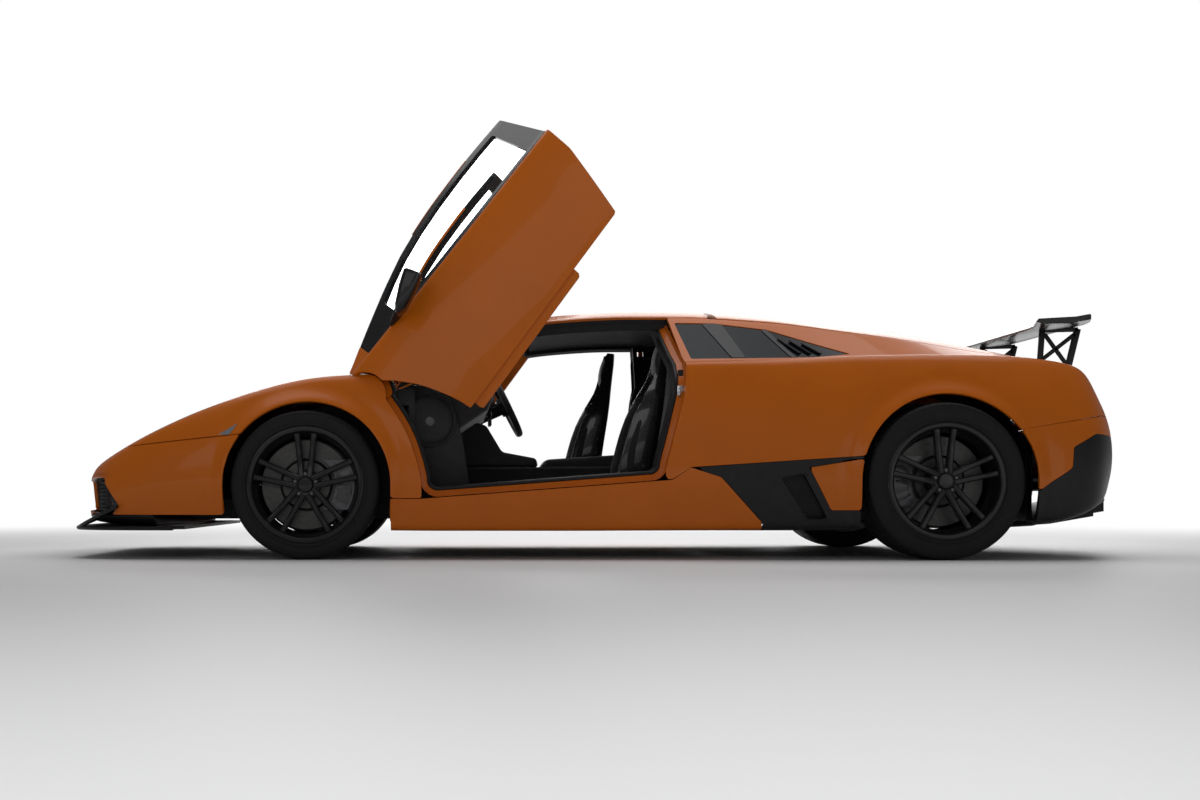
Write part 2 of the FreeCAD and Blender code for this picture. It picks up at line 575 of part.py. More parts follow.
# Engine cover, with its rows of glass slats
PANE_ROWS = [(330, 40, 150, 300), (620, 40, 165, 290), (900, 40, 165, 270)]
panes = []
for x_rear, gap_y, half_y, length in PANE_ROWS:
    x_start = COVER_FRONT_X + x_rear - 220
    outline = [(x_start, 0), (x_start + 60, half_y + 60), (x_start + length - 90, half_y + 90),
               (x_start + length - 40, half_y), (x_start + length, 0)]
    outline += [(x, -y) for x, y in reversed(outline[1:-1])]
    engine_cover = engine_cover.cut(plan_prism(outline, 700, HIGH))
    middle_x = x_start + length / 2
    small = [(middle_x + (x - middle_x) * 0.994, y * 0.996) for x, y in outline]
    pane = skin(x_start - 5, x_start + length + 5, size("glass_drop") + size("glass"), size("glass_drop"))
    panes.append(largest(pane.common(plan_prism(small, 700, HIGH))))
keep("engine_cover", engine_cover.removeSplitter())
keep("engine_cover_panes", Part.makeCompound(panes))

# Doors: a deep lower shell up to the waist and a thin frame round the window, with an arm to the hinge
DOOR_DEEP = size("door_thickness")
door_x_from, door_x_to = front(268), front(1600)
door_zone = side_prism(door_outline(0), 0, WIDE)
outside_rail = rail_core(door_x_from - 10, door_x_to + 10, -size("pillar_gap") / 2)
above_sill = side_prism([(door_x_from, DOOR_FRONT_LOW[1]), DOOR_FRONT_LOW, DOOR_REAR_LOW,
                         (door_x_to, DOOR_REAR_LOW[1]),
                         (door_x_to, HIGH), (door_x_from, HIGH)], 0, WIDE)
WAIST_LINE = [(door_x_from - 5, WAIST_FRONT_Z - 14), (door_x_to + 5, 804)]
deep_zone = side_prism([(WAIST_LINE[0][0], 100), (WAIST_LINE[1][0], 100), WAIST_LINE[1], WAIST_LINE[0]], 0, WIDE)
lower = skin(door_x_from, door_x_to, DOOR_DEEP).common(deep_zone).cut(
    block(door_x_from - 5, front(560), 0, 802, 500, HIGH))
frame = skin(door_x_from, door_x_to, size("door_frame"))
flange_from, flange_to = front(520), front(1215)
flange_zone = side_prism([(x, z + SHUT + rise) for rise, line in ((0, SILL_LINE), (80, SILL_LINE[::-1]))
                          for x, z in line], 0, WIDE).common(block(flange_from, flange_to, 0, WIDE, LOW, HIGH))
flange = skin(door_x_from, door_x_to, 62, 14).common(flange_zone)
door = frame.fuse(lower).common(door_zone).cut(outside_rail).common(above_sill).fuse(flange)
door = largest(door)


def window_outline(grow):
    """The door window in side view: along the waist, and under the rail, from the mirror to the pillar."""
    low, high = [], []
    for x in (front(604), front(812), front(1096), front(1380), front(1485)):
        row = row_at(x)
        low.append((x, row["valley_z"] + 14 - grow))
        high.append((x, row["rail_z"] - 30 + grow))
    low[0] = (low[0][0] - grow, low[0][1])
    high[0] = (high[0][0] - grow, high[0][1])
    low[-1] = (low[-1][0] + grow, low[-1][1])
    high[-1] = (high[-1][0] + grow, high[-1][1])
    return low + high[::-1]


door = door.cut(side_prism(window_outline(0), 300, WIDE))
door_glass = skin(front(400), front(1560), size("glass_drop") + size("glass"), size("glass_drop"))
door_glass = largest(door_glass.common(side_prism(window_outline(-SEAM / 2), 300, WIDE)))

# The hinge arm runs forward from the door's shell to a pin on the body
ARM_IN, ARM_OUT = 816, 850
arm_half = size("hinge_arm_width") / 2
arm = block(HINGE_X, HINGE_X + 190, ARM_IN, ARM_OUT, HINGE_Z - arm_half, HINGE_Z + arm_half)
arm.rotate(Vector(HINGE_X, 0, HINGE_Z), Vector(0, 1, 0), 14)
arm = arm.fuse(cross_tube(arm_half, HINGE_X, HINGE_Z, ARM_IN, ARM_OUT))
arm = arm.cut(cross_tube(size("hinge_pin_radius") + size("hinge_fit"), HINGE_X, HINGE_Z, ARM_IN - 5, ARM_OUT + 5))
door = door.fuse(arm).removeSplitter()
door = largest(door)

MIRROR_X, MIRROR_Z, MIRROR_TILT = front(760), 852, 20
mirror_head = side_prism([(MIRROR_X - 190, MIRROR_Z - 12), (MIRROR_X - 160, MIRROR_Z - 30),
                          (MIRROR_X - 60, MIRROR_Z - 40), (MIRROR_X, MIRROR_Z - 40),
                          (MIRROR_X, MIRROR_Z + 40), (MIRROR_X - 70, MIRROR_Z + 38),
                          (MIRROR_X - 160, MIRROR_Z + 26), (MIRROR_X - 188, MIRROR_Z + 8)], 930, 1090)
mirror_head.rotate(Vector(MIRROR_X, 0, MIRROR_Z), Vector(0, 1, 0), -MIRROR_TILT)
mirror_stalk = side_prism([(front(545), 770), (front(625), 770), (front(640), 828), (front(584), 828)], 868, 960)
mirror = mirror_head.fuse(mirror_stalk).cut(door).removeSplitter()
mirror = largest(mirror)

raised = Placement(Vector(0, 0, 0), Rotation(Vector(0, 1, 0), -size("door_open_angle")), Vector(HINGE_X, 0, HINGE_Z))
keep_pair("door", door, raised)
keep_pair("door_window", door_glass, raised)
keep_pair("door_mirror", mirror, raised)

# Sill covers under the doors, and the dark panels with a vent behind them
SILL_END = [(front(1612), 385), (front(1735), 345), (front(1905), 157), (front(1915), LOW)]
sill_zone = side_prism([(front(352), LOW), (front(352), sill_start), *SILL_LINE,
                        *[(x - SEAM, z) for x, z in SILL_END]], 760, WIDE)
sill = skin(front(340), front(1930), PANEL).common(sill_zone).cut(FRONT_ARCH)
sill_right = largest(sill)
keep_both("sill_covers", sill_right)

FLANK_TOP = [(front(1612), 385), (rear(-330), 432)]
flank_zone = side_prism([*SILL_END[::-1], FLANK_TOP[1], (rear(-330), LOW)], 760, WIDE)
flank = skin(front(1600), rear(-300), PANEL).common(flank_zone).cut(REAR_ARCH)
VENT = [(front(1975), 345), (front(2072), 358), (front(2172), 172), (front(2088), 172)]
flank = flank.cut(side_prism(VENT, 700, WIDE))
flank_right = largest(flank)
keep_both("flank_panels", flank_right)
vent_grown = [(VENT[0][0] - 12, VENT[0][1] + 12), (VENT[1][0] + 12, VENT[1][1] + 12),
              (VENT[2][0] + 12, VENT[2][1] - 12), (VENT[3][0] - 12, VENT[3][1] - 12)]
flank_mesh = skin(front(1900), front(2250), PANEL + 6, PANEL + SEAM / 2).common(side_prism(vent_grown, 700, WIDE))
side_mesh = largest(flank_mesh)
keep("front_and_side_mesh", Part.makeCompound([right_mesh, mirrored(right_mesh), side_mesh, mirrored(side_mesh)]))

# Rear quarters: from the door to the tail, outside the engine cover, with the quarter window
REAR_SEAM = [(rear(330), 545), (rear(690), 605), (rear(960), 615)]
TAIL_SEAM_X = COVER_REAR_X + size("lid_side_gap")
TAIL_LAMP = [(330, 628), (560, 600), (640, 596), (600, 655), (520, 668), (350, 662)]
lamp_cut = front_prism(TAIL_LAMP, rear(640), TAIL_X + 20)
quarter_skin = skin(front(1490), TAIL_X - PANEL - SEAM, PANEL)
ahead_of_door = side_prism([(front(1480), 300), (DOOR_REAR_LOW[0] + SHUT, 300),
                            (DOOR_REAR_LOW[0] + SHUT, DOOR_REAR_LOW[1]),
                            (DOOR_REAR_BEND[0] + SHUT, DOOR_REAR_BEND[1]),
                            (DOOR_REAR_WAIST[0] + SHUT, DOOR_REAR_WAIST[1]),
                            (DOOR_REAR_TOP[0] + SHUT, DOOR_REAR_TOP[1] + 100), (front(1480), 1200)], 0, WIDE)
under_quarter = side_prism([(front(1480), LOW), (front(1480), SILL_LINE[1][1] + SEAM),
                            *[(x, z + SEAM) for x, z in (SILL_LINE[1], *FLANK_TOP)],
                            (rear(-200), FLANK_TOP[1][1] + SEAM), (rear(-200), LOW)], 0, WIDE)
under_tail = side_prism([(rear(-210), LOW), (rear(-210), 440), (rear(330), REAR_SEAM[0][1] + SEAM),
                         (rear(690), REAR_SEAM[1][1] + SEAM), (rear(960), REAR_SEAM[2][1] + SEAM),
                         (rear(960), LOW)], 0, WIDE)
core_ahead = rail_core(front(1480), ROOF_REAR_X + 2, size("pillar_gap") / 2 - SEAM)
core_rear = rail_core(ROOF_REAR_X + 1, rear(960), -SIDE_GAP)
QUARTER_GLASS = [(front(1632), 850), (front(1592), 1030), (front(1770), 1028), (front(2000), 1000),
                 (front(2345), 882), (front(2180), 866)]
quarter = quarter_skin.common(half_space(1)).cut(ahead_of_door).cut(under_quarter).cut(under_tail)
quarter = quarter.cut(core_ahead).cut(core_rear).cut(REAR_ARCH).cut(lamp_cut)
quarter = quarter.cut(side_prism(QUARTER_GLASS, 300, WIDE))
quarter = largest(quarter)
keep_both("rear_quarters", quarter)
glass_x = sum(x for x, _ in QUARTER_GLASS) / len(QUARTER_GLASS)
glass_z = sum(z for _, z in QUARTER_GLASS) / len(QUARTER_GLASS)
glass_small = [(x + (glass_x - x) * 0.005, z + (glass_z - z) * 0.005) for x, z in QUARTER_GLASS]
quarter_glass = skin(front(1570), front(2400), size("glass_drop") + size("glass"), size("glass_drop"))
quarter_glass = largest(quarter_glass.common(side_prism(glass_small, 300, WIDE)))
keep("quarter_windows", Part.makeCompound([quarter_glass, mirrored(quarter_glass)]))

# Tail: the deck behind the engine cover, the face over the mesh and the flanks are one moulding; the
# corners under it are black
tail_shell = end_shell(rear(300), TAIL_X, 1)
tail_core = rail_core(TAIL_SEAM_X, rear(945), -SIDE_GAP + SEAM)
deck_part = tail_shell.common(tail_core).common(block(-3000, 3000, -WIDE, WIDE, 600, HIGH))
FLANK_LINE = [(rear(380), 292), (rear(520), 383), (rear(528), 470), (rear(640), 528), (rear(960), 505)]
corner_zone = side_prism([(rear(310), FLANK_LINE[0][1]), (rear(310), REAR_SEAM[0][1] - 4), *REAR_SEAM[1:],
                          *FLANK_LINE[::-1]], -WIDE, WIDE)
face_zone = block(TAIL_X - PANEL, TAIL_X + 5, -WIDE, WIDE, 562, HIGH)
tail = deck_part.fuse(tail_shell.common(corner_zone)).fuse(tail_shell.common(face_zone))
TAIL_GRILLE = [(-480, 300), (-560, 340), (-650, 535), (-540, 575), (540, 575), (650, 535), (560, 340), (480, 300)]
grille_cut = front_prism(TAIL_GRILLE, rear(640), TAIL_X + 20)
tail = tail.cut(lamp_cut).cut(mirrored(lamp_cut)).cut(grille_cut)
tail = tow_socket(tail.cut(REAR_ARCH).cut(mirrored(REAR_ARCH)), TAIL_X, -250, 625, 1)
keep("rear_bumper", largest(tail.removeSplitter()))
valance_zone = side_prism([(rear(310), FLANK_LINE[0][1] - SEAM), *[(x + SEAM / 2, z - SEAM) for x, z in FLANK_LINE],
                           (rear(960), 205), (rear(560), 150), (rear(310), 150)], -WIDE, WIDE)
under_tail_box = block(rear(290), rear(960), -430, 430, LOW, 470)
valance = tail_shell.common(valance_zone).cut(grille_cut).cut(under_tail_box)
valance = valance.cut(REAR_ARCH).cut(mirrored(REAR_ARCH))
keep("rear_corner_panels", Part.makeCompound([s for s in valance.Solids if s.Volume > 1e5]))
lamp_y = sum(y for y, _ in TAIL_LAMP) / len(TAIL_LAMP)
lamp_z = sum(z for _, z in TAIL_LAMP) / len(TAIL_LAMP)
lamp_fit = [(y + (lamp_y - y) * 0.01, z + (lamp_z - z) * 0.01) for y, z in TAIL_LAMP]
tail_lamp = largest(tail_shell.common(front_prism(lamp_fit, rear(640), TAIL_X + 20)))
keep("tail_lamps", Part.makeCompound([tail_lamp, mirrored(tail_lamp)]))
mesh_outline = [(y * 1.02, 440 + (z - 440) * 1.06) for y, z in TAIL_GRILLE]
mesh_outer = slab(rear(600), TAIL_X, PANEL + SEAM / 2)
mesh_outer.translate(Vector(-PANEL - SEAM / 2, 0, 0))
mesh_inner = slab(rear(590), TAIL_X, PANEL + 8)
mesh_inner.translate(Vector(-PANEL - 8, 0, 0))
tail_mesh = mesh_outer.cut(mesh_inner).common(front_prism(mesh_outline, rear(600), TAIL_X))

# Diffuser with fins, and the tail pipe above it
DIFFUSER = [(rear(420), 124), (rear(560), 132), (rear(1000), 262), (rear(1000), 276), (rear(556), 146),
            (rear(420), 138)]
diffuser = side_prism(DIFFUSER, -440, 440)
for fin_y in (-425, -255, -85, 85, 255, 425):
    fin = side_prism([(rear(520), 134), (rear(1000), 205), (rear(1000), 272), (rear(540), 140)], fin_y - 7, fin_y + 7)
    diffuser = diffuser.fuse(fin)
for y_from in (-430, 400):
    diffuser = diffuser.fuse(block(rear(800), rear(840), y_from, y_from + 30, 200, 286))
DIFFUSER_PLAN = [(420, 440), (830, 440), (930, 330), (1000, 150)]
plan = [(rear(x), y) for x, y in DIFFUSER_PLAN] + [(rear(x), -y) for x, y in DIFFUSER_PLAN[::-1]]
diffuser = diffuser.common(plan_prism(plan, LOW, HIGH))
keep("diffuser", diffuser.removeSplitter())


ALONG_X = Rotation(Vector(0, 1, 0), 90)
ALONG_Y = Rotation(Vector(1, 0, 0), -90)


def flat_oval(name, radius_e, ahead_e, length_e):
    """A flat oval bar along X behind the rear axle: a box between two cylinders."""
    x_e, z_e = f"{REAR_X_E} + {ahead_e}", "Sizes.pipe_height"
    middle = box_object(f"{name}_middle", (x_e, "-Sizes.pipe_half_width", f"{z_e} - {radius_e}"),
                        (length_e, "Sizes.pipe_half_width * 2", f"{radius_e} * 2"))
    ends = [cylinder_object(f"{name}_end_{end}", (x_e, f"Sizes.pipe_half_width * {sign}", z_e), radius_e, length_e,
                            ALONG_X) for end, sign in (("left", -1), ("right", 1))]
    return fuse_object(name, [middle, *ends])


pipe_outside = flat_oval("pipe_outside", "Sizes.pipe_radius", "600", "Sizes.pipe_length")
pipe_bore = flat_oval("pipe_bore", "(Sizes.pipe_radius - Sizes.pipe_wall)", "620", "Sizes.pipe_length")
tail_pipe = cut_object("tail_pipe", pipe_outside, pipe_bore)
pipe_space = flat_oval("pipe_space", "(Sizes.pipe_radius + 0.5)", "600", "Sizes.pipe_length - 2")
doc.recompute()
PARTS.append(tail_pipe)
keep("tail_mesh", largest(tail_mesh.cut(pipe_space.Shape)))

# Rear wing on two trusses. Its tips are swept forward of its middle.
WING_TOP = size("wing_height")
wing_half, wing_thick = size("wing_span") / 2, size("wing_thickness")


def wing_section(y, rear_x, chord):
    """The wing's profile at y, from its rear edge forward."""
    points = [(-1.0, -18), (-0.89, -8), (-0.54, -6), (-0.02, 12), (0.0, 2), (-0.27, -16), (-0.66, -6 - wing_thick),
              (-0.92, -28)]
    corners = [Vector(rear_x + share * chord, y, WING_TOP + z) for share, z in points]
    return Part.makePolygon(corners + corners[:1])


WING_STATIONS = [(-wing_half, rear(712), size("wing_chord") - 26), (-400, rear(812), size("wing_chord")),
                 (400, rear(812), size("wing_chord")), (wing_half, rear(712), size("wing_chord") - 26)]
wing = Part.makeLoft([wing_section(*station) for station in WING_STATIONS], True, True)
keep("rear_wing", wing)
STRUT_BARS = [((606, 850), (618, 1020), 26), ((726, 812), (778, 1024), 30), ((612, 880), (766, 1000), 18),
              ((728, 862), (628, 1000), 18), ((618, 1016), (780, 1020), 20)]


def bar_prism(start, end, width, y_from, y_to):
    """A flat bar between two points of a side view."""
    (x1, z1), (x2, z2) = start, end
    run = math.hypot(x2 - x1, z2 - z1)
    nx, nz = -(z2 - z1) / run * width / 2, (x2 - x1) / run * width / 2
    return side_prism([(x1 + nx, z1 + nz), (x2 + nx, z2 + nz), (x2 - nx, z2 - nz), (x1 - nx, z1 - nz)], y_from, y_to)


struts = []
for side in (-1, 1):
    y_mid = side * size("strut_spacing") / 2
    y_a, y_b = y_mid - size("strut_thickness") / 2, y_mid + size("strut_thickness") / 2
    truss = None
    for (xa, za), (xb, zb), width in STRUT_BARS:
        bar = bar_prism((rear(xa), za), (rear(xb), zb), width, y_a, y_b)
        truss = bar if truss is None else truss.fuse(bar)
    truss = truss.cut(slab(rear(300), TAIL_X)).cut(wing)
    struts.append(largest(truss.removeSplitter()))
keep("wing_struts", Part.makeCompound(struts))

# Wheels. Built round the Y axis with the outer face towards +Y, then moved to their places.
AXLES = [
    # name, axle place, tyre radius, tyre width, track, steered
    ("front", FRONT_X, size("front_tyre_radius"), size("front_tyre_width"), size("front_track"), True),
    ("rear", REAR_X, size("rear_tyre_radius"), size("rear_tyre_width"), size("rear_track"), False),
]


def turned(points):
    """A solid of revolution round Y from (y, radius) points."""
    corners = [Vector(radius, y, 0) for y, radius in points]
    face = Part.Face(Part.makePolygon(corners + corners[:1]))
    return face.revolve(Vector(0, 0, 0), Vector(0, 1, 0), 360)


def tyre_profile(name):
    """The tyre's section as (y, radius) expressions. Each corner is given by its depth from the side wall."""
    half, radius = f"Sizes.{name}_tyre_width / 2", f"Sizes.{name}_tyre_radius"
    seat = "Sizes.rim_seat_radius + Sizes.tyre_fit"
    lip = "Sizes.rim_inset + Sizes.flange_width"
    outside = [(lip, seat), (lip, f"{seat} + 20"), ("0", f"{seat} + 42"), ("6", f"{radius} - Sizes.tread_drop - 10"),
               ("Sizes.tread_round", f"{radius} - 1.5"), ("Sizes.tread_round * 1.8", radius)]
    inside = [("Sizes.tread_round * 1.8", f"{radius} - Sizes.rubber + 6"),
              ("Sizes.rubber", f"{radius} - Sizes.tread_drop - Sizes.rubber"), ("20", f"{seat} + 42"),
              (f"{lip} + 16", seat)]
    inner_half = [(f"({depth}) - {half}", r) for depth, r in outside]
    outer_half = [(f"{half} - ({depth})", r) for depth, r in outside]
    inner_back = [(f"({depth}) - {half}", r) for depth, r in inside]
    outer_back = [(f"{half} - ({depth})", r) for depth, r in inside]
    return inner_half + outer_half[::-1] + outer_back[::-1] + inner_back


DISC_PROFILE = [(f"Sizes.disc_offset {sign} Sizes.disc_thickness / 2", radius)
                for sign, radius in (("-", "Sizes.hub_radius + Sizes.hub_fit"), ("-", "Sizes.disc_radius"),
                                     ("+", "Sizes.disc_radius"), ("+", "Sizes.hub_radius + Sizes.hub_fit"))]


def rim_shape(width):
    half, seat, wall = width / 2 - size("rim_inset"), size("rim_seat_radius"), size("rim_wall")
    flange_w, flange_h = size("flange_width"), size("flange_height")
    barrel = turned([(-half, seat + flange_h), (-half, seat - wall), (-half + 40, seat - wall - 2),
                     (half - 58, seat - wall - 2), (half - 30, seat - wall - 2), (half, seat - wall + 6),
                     (half, seat + flange_h), (half - flange_w, seat + flange_h), (half - flange_w, seat),
                     (-half + flange_w, seat), (-half + flange_w, seat + flange_h)])
    face = half - size("spoke_dish")
    depth = size("spoke_depth")
    wheel = barrel
    pairs = int(size("spoke_pairs"))
    for n in range(pairs):
        angle = 360.0 / pairs * n - 90
        for side in (-1, 1):
            w, gap = size("spoke_width"), size("spoke_gap")
            outline = [(40, side * 6), (40, side * (6 + w)), (seat - wall - 1, side * (gap / 2 + w)),
                       (seat - wall - 1, side * gap / 2)]
            corners = [Vector(x, face - depth, z) for x, z in outline]
            spoke = Part.Face(Part.makePolygon(corners + corners[:1])).extrude(Vector(0, depth, 0))
            spoke.rotate(Vector(0, 0, 0), Vector(0, 1, 0), angle)
            wheel = wheel.fuse(spoke)
    hub_in = size("disc_offset") - size("disc_thickness") / 2 - 9
    hub = turned([(hub_in, 0), (hub_in, size("hub_radius")), (face - 10, size("hub_radius")),
                  (face - 4, size("hub_radius") - 8), (face - 4, 0)])
    bore = turned([(hub_in - 5, 0), (hub_in - 5, size("hub_bore_radius")), (face - 40, size("hub_bore_radius")),
                   (face - 40, 0)])
    wheel = wheel.fuse(hub)
    for n in range(pairs):
        angle = math.radians(360.0 / pairs * n + 54 + 72)
        nut = Part.makeCylinder(9, 14, Vector(46 * math.cos(angle), face - 12, 46 * math.sin(angle)), Vector(0, 1, 0))
        wheel = wheel.fuse(nut)
    return wheel.cut(bore).removeSplitter()


def upright_shape(inset, caliper_side, knuckle):
    """What carries a wheel: a post with the spindle, and the brake caliper on a bracket ahead or behind."""
    half_x, half_y = size("upright_width") / 2, size("upright_depth") / 2
    half_z = size("upright_height") / 2
    post = block(-half_x, half_x, -inset - half_y, -inset + half_y, -half_z, half_z)
    post = post.fuse(turned([(-inset, 0), (-inset, 29.7), (60, 29.7), (60, 0)]))
    y, gap, depth = size("disc_offset"), size("caliper_gap"), size("caliper_depth")
    half = size("disc_thickness") / 2
    reach_in, reach_out = size("disc_radius") - size("caliper_reach"), size("disc_radius") + gap + 10
    body = turned([(y - half - gap - depth, reach_in), (y - half - gap - depth, reach_out),
                   (y + half + gap + depth, reach_out), (y + half + gap + depth, reach_in)])
    slot = turned([(y - half - gap, reach_in - 5), (y - half - gap, size("disc_radius") + gap),
                   (y + half + gap, size("disc_radius") + gap), (y + half + gap, reach_in - 5)])
    sector_half = size("caliper_length") / 2
    sector = block(60, 260, -200, 200, -sector_half, sector_half)
    if caliper_side < 0:
        sector = sector.mirror(Vector(0, 0, 0), Vector(1, 0, 0))
    caliper = body.cut(slot).common(sector)
    bracket_end = reach_in + 30
    bracket = block(*sorted((caliper_side * (half_x - 10), caliper_side * bracket_end)),
                    -inset - half_y, y - half - gap - 1, -32, 32)
    hub_room = size("hub_radius") + 6
    bracket = bracket.cut(turned([(y - half - 10, 0), (y - half - 10, hub_room), (60, hub_room), (60, 0)]))
    shape = post.fuse(caliper).fuse(bracket)
    if knuckle:
        for z in (-1, 1):
            pin = Part.makeCylinder(size("kingpin_radius"), 34, Vector(0, -inset, z * (half_z - 4)), Vector(0, 0, z))
            shape = shape.fuse(pin)
    return shape.removeSplitter()


def arm_shape(x, root_y, tip_y, z, hole):
    """A plate arm from the frame to the upright, with an eye for the kingpin if it has a hole."""
    half = size("arm_thickness") / 2
    root, tip = size("arm_root_width") / 2, size("arm_tip_width") / 2
    outline = [(x - root, root_y), (x + root, root_y), (x + tip, tip_y), (x - tip, tip_y)]
    plate = plan_prism(outline, z - half, z + half)
    lightening = plan_prism([(x - root + 34, root_y + 24), (x + root - 34, root_y + 24), (x + 6, tip_y - 60),
                             (x - 6, tip_y - 60)], z - half - 1, z + half + 1)
    plate = plate.cut(lightening)
    if hole:
        plate = plate.fuse(Part.makeCylinder(tip, 2 * half, Vector(x, tip_y, z - half)))
        pin_hole = size("kingpin_radius") + 0.3
        plate = plate.cut(Part.makeCylinder(pin_hole, 2 * half + 2, Vector(x, tip_y, z - half - 1)))
    return plate.removeSplitter()


FRAME_HALF = {"front": size("front_box_half_width"), "rear": 430.0}
front_arms, rear_uprights, shafts = [], [], []
for name, axle_x, radius, width, track, steered in AXLES:
    wheel_y = track / 2
    inset = size("kingpin_inset")
    rim = rim_shape(width)
    axle_e = FRONT_X_E if steered else REAR_X_E
    for side, side_name in ((1, "right"), (-1, "left")):
        place = wheel_place(axle_x, wheel_y, radius, side)
        at = (axle_e, side, f"Sizes.{name}_track", f"Sizes.{name}_tyre_radius")
        turned_body(f"{name}_{side_name}_tyre", tyre_profile(name), *at)
        keep(f"{name}_{side_name}_rim", rim, place)
        turned_body(f"{name}_{side_name}_brake_disc", DISC_PROFILE, *at)
        upright = upright_shape(inset, side * (1 if steered else -1), steered)
        if steered:
            keep(f"front_knuckle_{side_name}", upright, place)
        else:
            upright.Placement = place
            rear_uprights.append(upright)
    half_z = size("upright_height") / 2
    for z_side in (-1, 1):
        gap = size("arm_gap") if steered else -4
        z = radius + z_side * (half_z + gap + size("arm_thickness") / 2)
        right = arm_shape(axle_x, FRAME_HALF[name] + 0.3, wheel_y - inset, z, steered)
        (front_arms if steered else rear_uprights).extend([right, mirrored(right)])
rear_right = [s for s in rear_uprights if s.BoundBox.YMin > 0]
rear_left = [s for s in rear_uprights if s.BoundBox.YMax < 0]
rear_groups = []
for group in (rear_right, rear_left):
    joined = group[0]
    for other in group[1:]:
        joined = joined.fuse(other)
    rear_groups.append(joined.removeSplitter())
keep("front_suspension_arms", Part.makeCompound(front_arms))
keep("rear_uprights_and_arms", Part.makeCompound(rear_groups))

# Engine and gearbox as one plain block, with the two drive shafts
ENGINE_HALF = size("engine_half_width")
PARTS.append(box_object("engine_block", (f"{REAR_X_E} - Sizes.engine_ahead", "-Sizes.engine_half_width",
                                         "Sizes.engine_low"),
                        ("Sizes.engine_length", "Sizes.engine_half_width * 2", "Sizes.engine_height")))
SHAFT_LENGTH = ("Sizes.rear_track / 2 - Sizes.kingpin_inset - Sizes.upright_depth / 2 - Sizes.engine_half_width")
SHAFT_Z = "Sizes.rear_tyre_radius"
right_shaft = cylinder_object("right_shaft", (REAR_X_E, "Sizes.engine_half_width", SHAFT_Z), "Sizes.shaft_radius",
                              SHAFT_LENGTH, ALONG_Y)
left_shaft = cylinder_object("left_shaft", (REAR_X_E, f"-Sizes.engine_half_width - ({SHAFT_LENGTH})", SHAFT_Z),
                             "Sizes.shaft_radius", SHAFT_LENGTH, ALONG_Y)
drive_shafts = doc.addObject("Part::Compound", "drive_shafts")
drive_shafts.Links = [right_shaft, left_shaft]
PARTS.append(drive_shafts)

# The load-bearing tub: floor, sills, tunnel, walls, front box, rear rails and the door hinge posts
FLOOR_TOP = size("floor_height") + size("floor_thickness")
CABIN_HALF = size("cabin_half_width")
WALL = size("bulkhead")
FRONT_WALL_X, REAR_WALL_X = front(size("front_wall_back")), front(1665)
floor_low = 120 + PANEL + 0.4
tub = block(FRONT_WALL_X, REAR_WALL_X + WALL, -CABIN_HALF + 1, CABIN_HALF - 1, size("floor_height"), FLOOR_TOP)
sill_box = side_prism([(front(434), floor_low), (REAR_WALL_X + WALL, floor_low), (REAR_WALL_X + WALL, 308),
                       (front(1400), 298), (front(540), 232), (front(434), 232)], CABIN_HALF, CABIN_HALF + 140)
sill_box = sill_box.common(slab(front(400), front(1750), PANEL + 0.4))
link = block(FRONT_WALL_X, REAR_WALL_X + WALL, CABIN_HALF - 2, CABIN_HALF + 2, floor_low, FLOOR_TOP)
tub = tub.fuse(sill_box).fuse(mirrored(sill_box)).fuse(link).fuse(mirrored(link))
tub = tub.fuse(block(FRONT_WALL_X, FRONT_WALL_X + WALL, -CABIN_HALF, CABIN_HALF, size("floor_height"), 700))
rear_wall = front_prism([(-CABIN_HALF, 130), (CABIN_HALF, 130), (CABIN_HALF, size("waist_height")),
                         (505, 1000), (-505, 1000), (-CABIN_HALF, size("waist_height"))], REAR_WALL_X,
                        REAR_WALL_X + WALL)
tub = tub.fuse(rear_wall)
tunnel = size("tunnel_half_width")
tub = tub.fuse(block(FRONT_WALL_X, REAR_WALL_X, -tunnel, tunnel, FLOOR_TOP - 2, size("tunnel_height")))
BOX_FRONT_E, WALL_E = f"{FRONT_X_E} + Sizes.box_back", f"{FRONT_X_E} + Sizes.front_wall_back"
box_side = doc.addObject("Sketcher::SketchObject", "luggage_box_side")
box_side.Placement = Placement(Vector(), Rotation(Vector(1, 0, 0), 90))
outline_sketch(box_side, [(BOX_FRONT_E, "Sizes.box_floor"), (WALL_E, "Sizes.box_floor"), (WALL_E, "690"),
                          (f"{FRONT_X_E} + 110", "690"), (BOX_FRONT_E, "540")])
box_solid = doc.addObject("Part::Extrusion", "luggage_box_solid")
box_solid.Base = box_side
box_solid.DirMode = "Normal"
box_solid.Solid = True
for direction in ("LengthFwd", "LengthRev"):
    box_solid.setExpression(direction, "Sizes.front_box_half_width")
tray_corner = (f"{BOX_FRONT_E} + Sizes.box_wall", "Sizes.box_wall - Sizes.front_box_half_width")
tray_extent = ("Sizes.front_wall_back - Sizes.box_back - Sizes.box_wall * 1.5",
               "(Sizes.front_box_half_width - Sizes.box_wall) * 2")
tray = box_object("luggage_tray", (*tray_corner, "Sizes.box_lid_height + Sizes.box_wall"), (*tray_extent, "1000"))
well = box_object("luggage_well", (*tray_corner, "Sizes.box_floor + Sizes.box_wall"),
                  (*tray_extent, "Sizes.box_lid_height - Sizes.box_floor - Sizes.box_wall"))
PARTS.append(cut_object("luggage_box", box_solid, fuse_object("luggage_spaces", [tray, well])))
post = block(front(196), FRONT_WALL_X + WALL, 700, 760, 656, 726)
post = post.fuse(cross_tube(size("hinge_pin_radius"), HINGE_X, HINGE_Z, 740, ARM_OUT + 6))
post = post.fuse(block(FRONT_WALL_X, FRONT_WALL_X + WALL, 700, 760, 600, 726))
tub = tub.fuse(post).fuse(mirrored(post))
